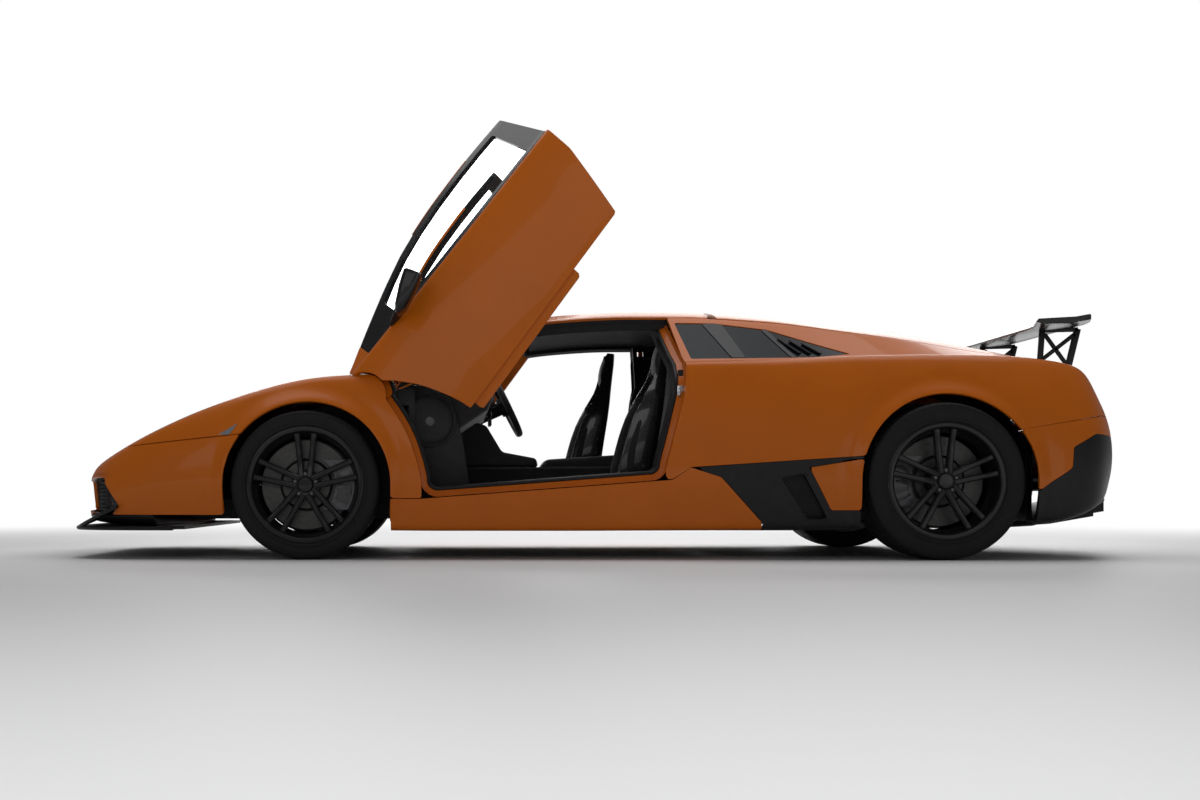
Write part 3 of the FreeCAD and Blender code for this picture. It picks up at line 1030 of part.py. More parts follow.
for side in (-1, 1):
    rail_y = sorted((side * FRAME_HALF["rear"], side * (FRAME_HALF["rear"] - 50)))
    tub = tub.fuse(block(REAR_WALL_X + WALL - 2, rear(560), *rail_y, 165, 520))
    mount_y = sorted((side * (ENGINE_HALF + 0.3), side * (FRAME_HALF["rear"] - 40)))
    tub = tub.fuse(block(rear(-560), rear(-480), *mount_y, 400, 440))
shaft_hole = cross_tube(48, REAR_X, size("rear_tyre_radius"), -FRAME_HALF["rear"] - 5, FRAME_HALF["rear"] + 5)
tub = tub.fuse(block(rear(500), rear(560), -FRAME_HALF["rear"], FRAME_HALF["rear"], 230, 290))
tub = tub.cut(shaft_hole).removeSplitter()
keep("tub", tub)

# Wheel arch liners
liners = []
for name, axle_x, radius, width, track, steered in AXLES:
    inner_r = radius + size("liner_gap")
    y_in = FRAME_HALF[name] + 0.4
    ring = cross_tube(inner_r + size("liner_wall"), axle_x + 8, radius, y_in, 860)
    ring = ring.cut(cross_tube(inner_r, axle_x + 8, radius, y_in - 1, 861))
    ring = ring.common(block(-3000, 3000, 0, WIDE, radius - 60, HIGH))
    ring = ring.common(slab(axle_x - 600, axle_x + 600, PANEL + 0.5))
    if steered:
        ring = ring.cut(block(front(180), front(460), 690, 900, 560, HIGH)).cut(
            block(FRONT_WALL_X - 0.5, FRONT_WALL_X + 200, 0, WIDE, 100, HIGH))
    else:
        ring = ring.cut(block(-3000, REAR_WALL_X + WALL + 0.5, 0, WIDE, 100, HIGH))
    ring = largest(ring)
    liners.extend([ring, mirrored(ring)])
keep("wheel_arch_liners", Part.makeCompound(liners))

# Cabin: dashboard, two bucket seats, steering wheel
dash = side_prism([(FRONT_WALL_X + WALL + 0.3, 560), (front(640), 540), (front(790), 640), (front(800), 742),
                   (front(700), 776), (front(520), 768), (FRONT_WALL_X + WALL + 0.3, 700)], -CABIN_HALF + 60,
                  CABIN_HALF - 60)
console = side_prism([(FRONT_WALL_X + WALL + 0.3, 401), (front(860), 401), (front(760), 600),
                      (FRONT_WALL_X + WALL + 0.3, 600)], -118, 118)
dashboard = keep("dashboard", dash.fuse(console).removeSplitter())

SEAT_HALF = 236


def seat_shape(foot_x, y_mid):
    """A bucket seat: cushion, reclined back with a head rest, and raised side bolsters."""
    def at(points):
        return [(foot_x + x, z) for x, z in points]
    floor = FLOOR_TOP + 0.2
    cushion = side_prism(at([(-470, floor), (20, floor), (60, 250), (10, 262), (-460, 320), (-490, 290)]),
                         y_mid - 190, y_mid + 190)
    back = side_prism(at([(-20, 240), (60, 200), (205, 700), (150, 712)]), y_mid - 190, y_mid + 190)
    head = side_prism(at([(150, 690), (205, 690), (262, 925), (236, 945), (196, 930)]), y_mid - 125, y_mid + 125)
    seat = cushion.fuse(back).fuse(head)
    for y_from in (y_mid - SEAT_HALF, y_mid + 180):
        low_side = side_prism(at([(-440, floor), (20, floor), (60, 250), (20, 400), (-60, 390), (-430, 372)]),
                              y_from, y_from + 56)
        high_side = side_prism(at([(20, 220), (60, 200), (205, 700), (120, 712), (20, 560), (-60, 400)]),
                               y_from, y_from + 56)
        seat = seat.fuse(low_side).fuse(high_side)
    return seat.removeSplitter()


SEAT_Y = size("seat_spacing") / 2
keep("bucket_seats", Part.makeCompound([seat_shape(front(1375), -SEAT_Y), seat_shape(front(1165), SEAT_Y)]))

rim_ring = doc.addObject("Part::Torus", "steering_ring")
rim_ring.setExpression("Radius1", "Sizes.steering_radius")
rim_ring.setExpression("Radius2", "Sizes.steering_rim")
hub = cylinder_object("steering_hub", ("0", "0", "-26"), "Sizes.steering_hub", "30")
column = cylinder_object("steering_column", ("0", "0", "-Sizes.column_length"), "Sizes.column_radius",
                         "Sizes.column_length - 20")
spokes = []
for angle in (0, 100, -100):
    spoke = doc.addObject("Part::Box", "steering_spoke")
    turn = Rotation(Vector(0, 0, 1), angle)
    spoke.Placement = Placement(turn.multVec(Vector(30, -17, -14)), turn)
    spoke.setExpression("Length", "Sizes.steering_radius - 32")
    spoke.Width, spoke.Height = 34, 12
    spokes.append(spoke)
steering = fuse_object("steering_assembly", [rim_ring, hub, column, *spokes])
steering.Placement = Placement(Vector(), Rotation(Vector(0, 1, 0), size("steering_tilt")))
for axis, place in zip("xyz", (f"{FRONT_X_E} + Sizes.steering_back", "Sizes.seat_spacing / 2",
                               "Sizes.steering_height")):
    steering.setExpression(f"Placement.Base.{axis}", place)
PARTS.append(cut_object("steering_wheel", steering, dashboard))

# Check and write
doc.recompute()
os.makedirs("parts", exist_ok=True)
for part in PARTS:
    if part.Shape.isNull() or not part.Shape.isValid():
        raise RuntimeError(f"bad shape: {part.Label}")
    part.Shape.exportStep(f"parts/{part.Label}.step")
for item in doc.Objects:
    if "Invalid" in item.State or "Error" in item.State:
        raise RuntimeError(f"bad object: {item.Label}")
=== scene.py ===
import math

import bmesh
import bpy
import numpy as np
from mathutils import Matrix, Vector


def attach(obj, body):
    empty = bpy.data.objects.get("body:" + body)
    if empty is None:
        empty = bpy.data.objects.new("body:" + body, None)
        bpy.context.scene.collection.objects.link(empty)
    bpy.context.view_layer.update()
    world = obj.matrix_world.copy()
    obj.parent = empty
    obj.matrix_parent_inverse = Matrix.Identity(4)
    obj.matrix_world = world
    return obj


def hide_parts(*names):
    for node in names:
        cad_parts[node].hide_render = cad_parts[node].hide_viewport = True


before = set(bpy.data.objects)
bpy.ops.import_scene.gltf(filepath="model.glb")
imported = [obj for obj in bpy.data.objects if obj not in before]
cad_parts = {obj.name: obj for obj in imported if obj.type == "MESH"}
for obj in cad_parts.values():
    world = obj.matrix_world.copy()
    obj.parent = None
    obj.data.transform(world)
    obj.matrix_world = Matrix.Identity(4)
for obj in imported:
    if obj.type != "MESH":
        bpy.data.objects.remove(obj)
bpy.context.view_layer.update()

# The car's layout, in metres, as in the part's source
FRONT_X, REAR_X = -1.3125, 1.3525
FRONT_FACE, REAR_FACE = 0.940, 1.015
FRONT_R, REAR_R = 0.3145, 0.329
FRONT_TRACK, REAR_TRACK = 1.635, 1.695
HINGE = (-1.071, 0.691)
DOOR_OPEN = math.radians(49.5)
SIDES = (("right", 1), ("left", -1))
MIRROR = np.array([1, -1, 1])

COLUMNS = ("x", "floor_y", "floor_z", "low_y", "low_z", "wide_y", "wide_z", "shoulder_y", "shoulder_z",
           "valley_y", "valley_z", "rail_y", "rail_z", "crown_z")
FRONT_ROWS = [
    (-1022, -640, 165, -560, 182, -540, 280, -565, 340, 340, 358, 250, 366, 372),
    (-990, -480, 160, -410, 178, -395, 285, -430, 352, 470, 374, 340, 384, 390),
    (-950, -330, 155, -250, 175, -235, 290, -280, 368, 600, 392, 400, 400, 407),
    (-900, -250, 150, -160, 172, -140, 295, -190, 392, 670, 420, 440, 430, 438),
    (-778, -200, 140, -105, 165, -75, 310, -135, 468, 715, 490, 500, 492, 500),
    (-638, -180, 130, -75, 158, -40, 330, -105, 543, 745, 560, 550, 552, 560),
    (-488, -170, 120, -50, 152, -12, 350, -95, 612, 748, 627, 580, 606, 614),
    (-338, -160, 120, -25, 150, 10, 380, -90, 668, 750, 683, 598, 652, 661),
    (-168, -160, 120, -10, 150, 30, 430, -85, 724, 750, 737, 610, 698, 711),
    (0, -150, 120, -5, 140, 35, 450, -82, 764, 750, 772, 622, 742, 758),
    (132, -140, 120, -5, 130, 32, 450, -80, 778, 757, 783, 645, 777, 800),
    (262, -140, 120, -5, 125, 26, 445, -72, 781, 832, 790, 800, 802, 852),
    (382, -140, 120, -8, 122, 20, 440, -60, 783, 842, 793, 775, 848, 907),
    (592, -140, 120, -12, 120, 15, 435, -52, 790, 852, 800, 700, 925, 987),
    (812, -140, 120, -12, 120, 15, 435, -48, 798, 858, 807, 622, 998, 1057),
    (1096, -140, 120, -8, 120, 18, 435, -45, 808, 860, 816, 562, 1044, 1112),
    (1412, -135, 120, 0, 122, 26, 438, -38, 820, 860, 828, 548, 1060, 1135),
    (1612, -130, 120, 10, 124, 38, 440, -28, 829, 848, 834, 545, 1060, 1134),
]
REAR_ROWS = [
    (-632, -150, 120, -35, 130, -10, 450, -110, 846, 762, 846, 532, 1040, 1104),
    (-352, -150, 120, -15, 135, 5, 460, -115, 862, 738, 857, 505, 1008, 1066),
    (0, -150, 125, -5, 140, 14, 470, -125, 869, 720, 859, 482, 962, 1030),
    (248, -150, 130, -8, 150, 9, 470, -135, 867, 706, 856, 468, 920, 990),
    (498, -170, 150, -30, 175, -15, 480, -160, 844, 692, 842, 460, 884, 934),
    (648, -200, 190, -75, 220, -55, 490, -200, 806, 672, 822, 456, 854, 888),
    (720, -300, 215, -170, 255, -130, 500, -290, 715, 600, 775, 445, 812, 838),
    (790, -420, 250, -330, 290, -280, 510, -440, 690, 490, 742, 420, 772, 800),
    (850, -520, 280, -450, 318, -420, 515, -570, 665, 400, 718, 360, 745, 772),
    (895, -600, 300, -555, 335, -525, 520, -640, 650, 335, 695, 300, 718, 740),
]


def front(mm):
    return FRONT_X + mm / 1000


def rear(mm):
    return REAR_X + mm / 1000


def body_table():
    """One array of numbers per column, in metres from the car's own origin."""
    rows = []
    for table, axle, face in ((FRONT_ROWS, FRONT_X, FRONT_FACE), (REAR_ROWS, REAR_X, REAR_FACE)):
        for numbers in table:
            row = {c: v / 1000 for c, v in zip(COLUMNS, numbers)}
            row["x"] += axle
            for c in ("floor_y", "low_y", "wide_y", "shoulder_y"):
                row[c] += face
            rows.append(row)
    return {c: np.array([r[c] for r in rows]) for c in COLUMNS}


def monotone(xs, ys, at):
    """A smooth curve through points that never swings past them."""
    step = np.diff(xs)
    slope = np.diff(ys) / step
    m = np.zeros_like(ys)
    same = slope[:-1] * slope[1:] > 0
    w1, w2 = 2 * step[1:] + step[:-1], step[1:] + 2 * step[:-1]
    inner = np.zeros(len(same))
    inner[same] = (w1 + w2)[same] / (w1[same] / slope[:-1][same] + w2[same] / slope[1:][same])
    m[1:-1] = inner
    m[0], m[-1] = slope[0], slope[-1]
    k = np.clip(np.searchsorted(xs, at) - 1, 0, len(xs) - 2)
    t = (at - xs[k]) / step[k]
    h = step[k]
    return ((2 * t**3 - 3 * t**2 + 1) * ys[k] + (t**3 - 2 * t**2 + t) * h * m[k]
            + (-2 * t**3 + 3 * t**2) * ys[k + 1] + (t**3 - t**2) * h * m[k + 1])


def blur(values, sigma, axis=0):
    """A Gaussian average along one axis that leaves the two ends where they are."""
    if sigma <= 0:
        return values
    reach = int(3 * sigma) + 1
    kernel = np.exp(-0.5 * (np.arange(-reach, reach + 1) / sigma) ** 2)
    kernel /= kernel.sum()
    v = np.moveaxis(values, axis, 0)
    head = 2 * v[:1] - v[1:reach + 1][::-1]
    tail = 2 * v[-1:] - v[-reach - 1:-1][::-1]
    padded = np.concatenate([head, v, tail])
    out = sum(kernel[i] * padded[i:i + len(v)] for i in range(2 * reach + 1))
    return np.moveaxis(out, 0, axis)


BODY = body_table()
NOSE_X, TAIL_X = BODY["x"][0], BODY["x"][-1]
STEP_X = 0.012
LINE_BLUR, SECTION_BLUR = 3.2, 1.5
GRID_X = np.linspace(NOSE_X, TAIL_X, int((TAIL_X - NOSE_X) / STEP_X) + 1)
LINES = {c: blur(monotone(BODY["x"], BODY[c], GRID_X), LINE_BLUR) for c in COLUMNS[1:]}


def line(column, x):
    """A body line, such as rail_y, at places x."""
    return np.interp(x, GRID_X, LINES[column])


def arc_points(a, b, c, count):
    """Points along the circle through a, b and c, from a to c."""
    (ax, ay), (bx, by), (cx, cy) = a, b, c
    d = 2 * (ax * (by - cy) + bx * (cy - ay) + cx * (ay - by))
    if abs(d) < 1e-9:
        t = np.linspace(0, 1, count)
        return np.stack([ax + (cx - ax) * t, ay + (cy - ay) * t], 1)
    ux = ((ax * ax + ay * ay) * (by - cy) + (bx * bx + by * by) * (cy - ay)
          + (cx * cx + cy * cy) * (ay - by)) / d
    uy = ((ax * ax + ay * ay) * (cx - bx) + (bx * bx + by * by) * (ax - cx)
          + (cx * cx + cy * cy) * (bx - ax)) / d
    r = math.hypot(ax - ux, ay - uy)
    t0, t1, t2 = (math.atan2(y - uy, x - ux) for x, y in (a, b, c))
    while t1 < t0:
        t1 += 2 * math.pi
    while t2 < t1:
        t2 += 2 * math.pi
    if t2 - t0 > 2 * math.pi:
        t1 -= 2 * math.pi
        t2 = math.atan2(cy - uy, cx - ux)
        while t2 > t1:
            t2 -= 2 * math.pi
    t = np.linspace(t0, t2, count)
    return np.stack([ux + r * np.cos(t), uy + r * np.sin(t)], 1)


def straight(a, b, count):
    t = np.linspace(0, 1, count)[:, None]
    return np.array(a) * (1 - t) + np.array(b) * t


def section(i):
    """The half section at grid place i, from the middle of the floor to the middle of the top."""
    p = {n: (LINES[f"{n}_y"][i], LINES[f"{n}_z"][i])
         for n in ("floor", "low", "wide", "shoulder", "valley", "rail")}
    crown = (0.0, LINES["crown_z"][i])
    rail_left = (-p["rail"][0], p["rail"][1])
    top = arc_points(p["rail"], crown, rail_left, 53)[:27]
    top[-1] = crown
    runs = [straight((0.0, p["floor"][1]), p["floor"], 7), straight(p["floor"], p["low"], 10),
            arc_points(p["low"], p["wide"], p["shoulder"], 47), straight(p["shoulder"], p["valley"], 9),
            straight(p["valley"], p["rail"], 31), top]
    return np.concatenate([r[:-1] for r in runs] + [runs[-1][-1:]])


def circle(x, z, cx, cz):
    return np.hypot(x - cx, z - cz)


ARCH_SHIFT, ARCH_GAP = 0.008, 0.037
ARCH_FRONT = (FRONT_X + ARCH_SHIFT, FRONT_R, FRONT_R + ARCH_GAP)
ARCH_REAR = (REAR_X + ARCH_SHIFT, REAR_R, REAR_R + ARCH_GAP)
CAP_SHARES = np.array([0.985, 0.955, 0.91, 0.85, 0.78, 0.7, 0.61, 0.51, 0.4, 0.28, 0.15, 0.0])
CAP_ROWS = len(CAP_SHARES)
NOSE_CAP, TAIL_CAP = (-0.016, 0.30), (0.006, 0.55)


def make_surface():
    """The right-hand half of the body's outer surface as a grid of points, with their normals."""
    pts = np.stack([section(i) for i in range(len(GRID_X))])
    pts = blur(pts, SECTION_BLUR, axis=1)
    pts[:, 0, 0] = 0
    pts[:, -1, 0] = 0
    x = np.repeat(GRID_X[:, None], pts.shape[1], 1)
    y, z = pts[:, :, 0].copy(), pts[:, :, 1].copy()
    side = (z > 0.16) & (z < 0.84) & (y > 0.6)
    # Each wheel arch swells out at its lip, with a shallow hollow round it
    for cx, cz, r in (ARCH_FRONT, ARCH_REAR):
        d = circle(x, z, cx, cz) - r
        lip = 0.008 * np.exp(-((d - 0.004) / 0.020) ** 2) - 0.006 * np.exp(-((d - 0.060) / 0.028) ** 2)
        y += np.where(side & (z > cz - 0.2), lip, 0)
    grid = np.stack([x, y, z], 2)
    # The nose and the tail are closed by rings that shrink to a middle point
    caps = []
    for ring, (out, middle_z) in ((grid[0], NOSE_CAP), (grid[-1], TAIL_CAP)):
        rows = [np.stack([ring[:, 0] + out * (1 - s**6), ring[:, 1] * s,
                          middle_z + (ring[:, 2] - middle_z) * s], 1)
                for s in CAP_SHARES]
        caps.append(np.array(rows))
    grid = np.concatenate([caps[0][::-1], grid, caps[1]])
    n = np.cross(np.gradient(grid, axis=0), np.gradient(grid, axis=1))
    n /= np.linalg.norm(n, axis=2, keepdims=True) + 1e-12
    n *= np.sign(n[CAP_ROWS:-CAP_ROWS, 60, 1]).mean()
    n[0], n[-1] = (-1, 0, 0), (1, 0, 0)
    return grid, n


SURF, NORM = make_surface()
SX, SY, SZ = SURF[:, :, 0], SURF[:, :, 1], SURF[:, :, 2]


def inside(points, a, b):
    """Signed distance to a closed outline of points, negative inside it."""
    pts = np.array(points, float)
    nxt = np.roll(pts, -1, 0)
    best = np.full(a.shape, 1e9)
    within = np.zeros(a.shape, bool)
    for (x1, y1), (x2, y2) in zip(pts, nxt):
        dx, dy = x2 - x1, y2 - y1
        t = np.clip(((a - x1) * dx + (b - y1) * dy) / (dx * dx + dy * dy), 0, 1)
        best = np.minimum(best, np.hypot(a - x1 - t * dx, b - y1 - t * dy))
        if y1 != y2:
            crosses = (y1 > b) != (y2 > b)
            within ^= crosses & (a < (x2 - x1) * (b - y1) / (y2 - y1) + x1)
    return np.where(within, -best, best)


def all_of(*fields):
    return np.maximum.reduce(fields)


def any_of(*fields):
    return np.minimum.reduce(fields)


def clip_grid(field, lift=0.0):
    """The part of the surface where field is negative, cut along its zero line: points, normals and faces."""
    rows, cols = field.shape
    inner = field < 0
    number = -np.ones((rows, cols), int)
    points, normals, faces = [], [], []

    ids = np.argwhere(inner)
    for k, (i, j) in enumerate(ids):
        number[i, j] = k
    points.extend(SURF[i, j] + NORM[i, j] * lift for i, j in ids)
    normals.extend(NORM[i, j] for i, j in ids)
    cut = {}

    def crossing(a, b):
        """The number of the point where the zero line cuts an edge of the grid."""
        key = (a, b) if a < b else (b, a)
        if key not in cut:
            t = field[a] / (field[a] - field[b])
            n = NORM[a] * (1 - t) + NORM[b] * t
            n = n / (np.linalg.norm(n) + 1e-12)
            points.append(SURF[a] * (1 - t) + SURF[b] * t + n * lift)
            normals.append(n)
            cut[key] = len(points) - 1
        return cut[key]

    count = inner[:-1, :-1].astype(int) + inner[1:, :-1] + inner[1:, 1:] + inner[:-1, 1:]
    for i, j in np.argwhere(count > 0):
        ring = [(i, j), (i + 1, j), (i + 1, j + 1), (i, j + 1)]
        if count[i, j] == 4:
            faces.append([number[c] for c in ring])
            continue
        face = []
        for c, d in zip(ring, ring[1:] + ring[:1]):
            if inner[c]:
                face.append(number[c])
            if inner[c] != inner[d]:
                face.append(crossing(tuple(c), tuple(d)))
        if len(face) >= 3:
            faces.append(face)
    return np.array(points), np.array(normals), faces


def collection_link(obj):
    bpy.context.scene.collection.objects.link(obj)
    return obj


def mesh_object(name, verts, faces, material):
    mesh = bpy.data.meshes.new(name)
    mesh.from_pydata([tuple(v) for v in verts], [], faces)
    mesh.validate()
    mesh.shade_smooth()
    mesh.materials.append(material)
    return collection_link(bpy.data.objects.new(name, mesh))


def thicken(points, normals, faces, depth, centre):
    """Closes a cut sheet with an inner copy below and a wall round its edge; centre adds its mirror image."""
    pts, nrm = points.copy(), normals.copy()
    if centre:
        on_middle = np.abs(pts[:, 1]) < 1e-5
        pts[on_middle, 1] = 0
        nrm[on_middle, 1] = 0
    count = len(pts)
    used = {}
    for f in faces:
        for a, b in zip(f, f[1:] + f[:1]):
            used[(a, b)] = used.get((a, b), 0) + 1
    border = [(a, b) for a, b in used if (b, a) not in used]
    if centre:
        border = [(a, b) for a, b in border if not (on_middle[a] and on_middle[b])]
    verts = np.concatenate([pts, pts - nrm * depth])
    out = list(faces) + [[v + count for v in f[::-1]] for f in faces]
    out += [[b, a, a + count, b + count] for a, b in border]
    if centre:
        total = len(verts)
        key = np.arange(total) + total
        middle = np.abs(verts[:, 1]) < 1e-5
        key[middle] = np.arange(total)[middle]
        out += [[int(key[v]) for v in f[::-1]] for f in out]
        verts = np.concatenate([verts, verts * MIRROR])
    return verts, out


def tidy_mesh(obj, angle=38):
    """Drops unused points, turns faces outward and marks sharp edges."""
    bm = bmesh.new()
    bm.from_mesh(obj.data)
    loose = [v for v in bm.verts if not v.link_faces]
    bmesh.ops.delete(bm, geom=loose, context="VERTS")
    bmesh.ops.dissolve_degenerate(bm, dist=1e-5, edges=bm.edges)
    bmesh.ops.recalc_face_normals(bm, faces=bm.faces)
    bm.to_mesh(obj.data)
    bm.free()
    obj.data.shade_smooth()
    obj.data.set_sharp_from_angle(angle=math.radians(angle))
    return obj


def panel(name, field, material, depth=0.014, lift=0.0, centre=False):
    """A list of body panels cut from the surface: one across the middle, or one on each side."""
    points, normals, faces = clip_grid(field, lift)
    if not faces:
        raise RuntimeError(f"empty panel {name}")
    verts, faces = thicken(points, normals, faces, depth, centre)
    if centre:
        return [tidy_mesh(mesh_object(name, verts, faces, material))]
    sheets = (("right", verts, faces), ("left", verts * MIRROR, [f[::-1] for f in faces]))
    return [tidy_mesh(mesh_object(f"{name}_{side}", v, f, material)) for side, v, f in sheets]


# Materials
def material(name, colour, rough, metal=0.0, coat=0.0, vary=0.08, scale=18.0, bump=0.0, bump_scale=220.0,
             rough_vary=0.06, clear=0.0, ior=1.45, sheen=0.0, shine=0.3):
    """A finish whose colour and gloss wander a little, with a fine surface texture."""
    mat = bpy.data.materials.new(name)
    mat.use_nodes = True
    nodes, links = mat.node_tree.nodes, mat.node_tree.links
    shader = nodes["Principled BSDF"]
    for socket, value in (("Metallic", metal), ("Coat Weight", coat), ("Coat Roughness", 0.05), ("IOR", ior),
                          ("Specular IOR Level", shine), ("Transmission Weight", clear),
                          ("Sheen Weight", sheen)):
        shader.inputs[socket].default_value = value
    where = nodes.new("ShaderNodeTexCoord")
    noise = nodes.new("ShaderNodeTexNoise")
    noise.inputs["Scale"].default_value = scale
    noise.inputs["Detail"].default_value = 3
    links.new(where.outputs["Object"], noise.inputs["Vector"])
    ramp = nodes.new("ShaderNodeValToRGB")
    for element, position, share in zip(ramp.color_ramp.elements, (0.3, 0.7), (1 - vary, 1 + vary)):
        element.position = position
        element.color = (*[min(c * share, 1) for c in colour], 1)
    links.new(noise.outputs["Fac"], ramp.inputs["Fac"])
    links.new(ramp.outputs["Color"], shader.inputs["Base Color"])
    spread = nodes.new("ShaderNodeMapRange")
    spread.inputs["To Min"].default_value = max(rough - rough_vary, 0.02)
    spread.inputs["To Max"].default_value = min(rough + rough_vary, 1)
    links.new(noise.outputs["Fac"], spread.inputs["Value"])
    links.new(spread.outputs["Result"], shader.inputs["Roughness"])
    if bump:
        fine = nodes.new("ShaderNodeTexNoise")
        fine.inputs["Scale"].default_value = bump_scale
        fine.inputs["Detail"].default_value = 4
        links.new(where.outputs["Object"], fine.inputs["Vector"])
        height = nodes.new("ShaderNodeBump")
        height.inputs["Strength"].default_value = bump
        height.inputs["Distance"].default_value = 0.001
        links.new(fine.outputs["Fac"], height.inputs["Height"])
        links.new(height.outputs["Normal"], shader.inputs["Normal"])
    return mat


PAINT = material("paint", (0.50, 0.112, 0.002), 0.40, coat=0.14, vary=0.03, scale=5, rough_vary=0.03,
                 shine=0.22)
BLACK = material("black_trim", (0.010, 0.010, 0.011), 0.42, vary=0.2, scale=30, bump=0.12, bump_scale=500)
GLOSS = material("gloss_black", (0.006, 0.006, 0.007), 0.26, coat=0.15, vary=0.2, scale=12, rough_vary=0.04)
GRILLE = material("grille_black", (0.014, 0.014, 0.015), 0.5, vary=0.25, scale=60, bump=0.2)
GLASS = material("clear_glass", (0.93, 0.96, 0.96), 0.03, clear=1.0, ior=1.02, vary=0.01, rough_vary=0.01)
DARK_GLASS = material("dark_glass", (0.005, 0.008, 0.011), 0.12, vary=0.25, scale=3, rough_vary=0.02,
                      ior=1.25,
                      shine=0.25)
LENS = material("lamp_lens", (0.85, 0.88, 0.9), 0.04, clear=1.0, ior=1.05, vary=0.01, rough_vary=0.01)
SILVER = material("lamp_silver", (0.55, 0.56, 0.58), 0.2, metal=1.0, vary=0.08, scale=40)
RED = material("lamp_red", (0.30, 0.008, 0.008), 0.12, coat=1.0, vary=0.15, scale=30)
TYRE = material("tyre_rubber", (0.007, 0.007, 0.0075), 0.68, vary=0.25, scale=25, bump=0.25, bump_scale=350)
RIM = material("rim_satin_black", (0.008, 0.008, 0.009), 0.36, metal=0.3, coat=0.2, vary=0.2, scale=40,
               bump=0.05)
DISC = material("brake_disc", (0.065, 0.063, 0.061), 0.45, metal=1.0, vary=0.12, scale=70, bump=0.15,
                bump_scale=800)
CALIPER = material("caliper_grey", (0.05, 0.05, 0.052), 0.4, metal=0.3, coat=0.3, vary=0.15, scale=40)
METAL = material("suspension_metal", (0.09, 0.09, 0.095), 0.45, metal=0.8, vary=0.2, scale=50, bump=0.1)
STEEL = material("bright_steel", (0.45, 0.45, 0.46), 0.25, metal=1.0, vary=0.08, scale=60)
EXHAUST = material("exhaust_steel", (0.16, 0.15, 0.14), 0.32, metal=1.0, vary=0.2, scale=30, bump=0.1)
CARPET = material("cabin_carpet", (0.016, 0.016, 0.017), 0.9, vary=0.35, scale=90, bump=0.6, bump_scale=700,
                  sheen=0.3)
TRIM = material("cabin_trim", (0.018, 0.018, 0.019), 0.6, vary=0.25, scale=30, bump=0.3, bump_scale=420)
SUEDE = material("seat_suede", (0.020, 0.019, 0.019), 0.85, vary=0.3, scale=45, bump=0.45, bump_scale=600,
                 sheen=0.6)
SHELL = material("seat_shell", (0.014, 0.014, 0.015), 0.28, coat=0.5, vary=0.3, scale=160)
SEAL = material("rubber_seal", (0.010, 0.010, 0.011), 0.55, vary=0.2, scale=60)
BRIGHT = material("tread_strip", (0.62, 0.62, 0.62), 0.22, metal=1.0, vary=0.06, scale=80)
ENGINE = material("engine_grey", (0.06, 0.06, 0.063), 0.5, metal=0.6, vary=0.25, scale=20, bump=0.2)


# Edge lines of the panels, in metres
BUMPER_TOP_X = front(-773)
SEAM_REAR = (front(-200), 0.534)
BUMPER_ZONE = [(NOSE_X - 0.2, 0.02), (SEAM_REAR[0], 0.02), SEAM_REAR, (BUMPER_TOP_X, 0.478),
               (BUMPER_TOP_X, 0.9),
               (NOSE_X - 0.2, 0.9)]
LAMP_PLAN = [(front(x), y) for x, y in ((-764, 0.548), (-752, 0.690), (-640, 0.800), (-470, 0.812),
                                        (-400, 0.790), (-560, 0.664), (-690, 0.566))]
INTAKE = [(0.215, 0.205), (0.740, 0.192), (0.862, 0.250), (0.850, 0.330), (0.780, 0.350), (0.280, 0.332)]
DOOR_FRONT_LOW, DOOR_REAR_LOW = (front(492), 0.310), (front(1502), 0.378)
DOOR_REAR_BEND = (front(1587), 0.700)
SILL_LINE = [(front(492), 0.256), (front(1534), 0.335)]
DOOR_REAR_WAIST, DOOR_REAR_TOP = (front(1595), 0.829), (front(1528), 1.200)
DOOR_SPAN = (front(268), front(1600))
WAIST_Z = (0.790, 0.822)
ROOF_REAR_X = front(1750)
COVER_FRONT_X, COVER_REAR_X = ROOF_REAR_X + 0.039, rear(452)
GAP = 0.0022


def on_hinge(radius, degrees):
    a = math.radians(degrees)
    return HINGE[0] + radius * math.cos(a), HINGE[1] + radius * math.sin(a)


def door_edge(gap):
    """The door's front edge in side view: an arc round the hinge, then down to the sill."""
    arc = [on_hinge(0.100 + gap, d) for d in np.arange(70, -13.1, -4)]
    bend = [(front(x) + gap, z + 0.6 * gap) for x, z in
            ((373, 0.630), (397, 0.592), (420, 0.552), (440, 0.510), (456, 0.466), (473, 0.412),
             (486, 0.360))]
    return arc + bend + [(DOOR_FRONT_LOW[0] + gap, DOOR_FRONT_LOW[1])]


def door_outline(gap):
    edge = door_edge(gap)
    back = [(x - gap, z)
            for x, z in (DOOR_REAR_LOW, DOOR_REAR_BEND, DOOR_REAR_WAIST, (DOOR_REAR_TOP[0], 1.3))]
    return [(edge[0][0], 1.3), *edge, *back]


def window_outline(grow):
    xs = [front(x) for x in (604, 700, 812, 950, 1096, 1240, 1380, 1440, 1485)]
    low = [(x, float(line("valley_z", x)) + 0.014 - grow) for x in xs]
    high = [(x, float(line("rail_z", x)) - 0.030 + grow) for x in xs]
    for row in (low, high):
        row[0] = (row[0][0] - grow, row[0][1])
        row[-1] = (row[-1][0] + grow, row[-1][1])
    return low + high[::-1]


RAIL = line("rail_y", SX)


def side_zone(points):
    return inside(points, SX, SZ)


def plan_zone(points):
    return inside(points, SX, SY)


def face_zone(points):
    return inside(points, SY, SZ)


def between(values, low, high):
    return np.maximum(low - values, values - high)


def arch_zone(arch, inner_y):
    cx, cz, r = arch
    opening = np.minimum(circle(SX, SZ, cx, cz) - r, np.maximum(np.abs(SX - cx) - r, SZ - cz))
    return np.maximum(opening, inner_y - SY)


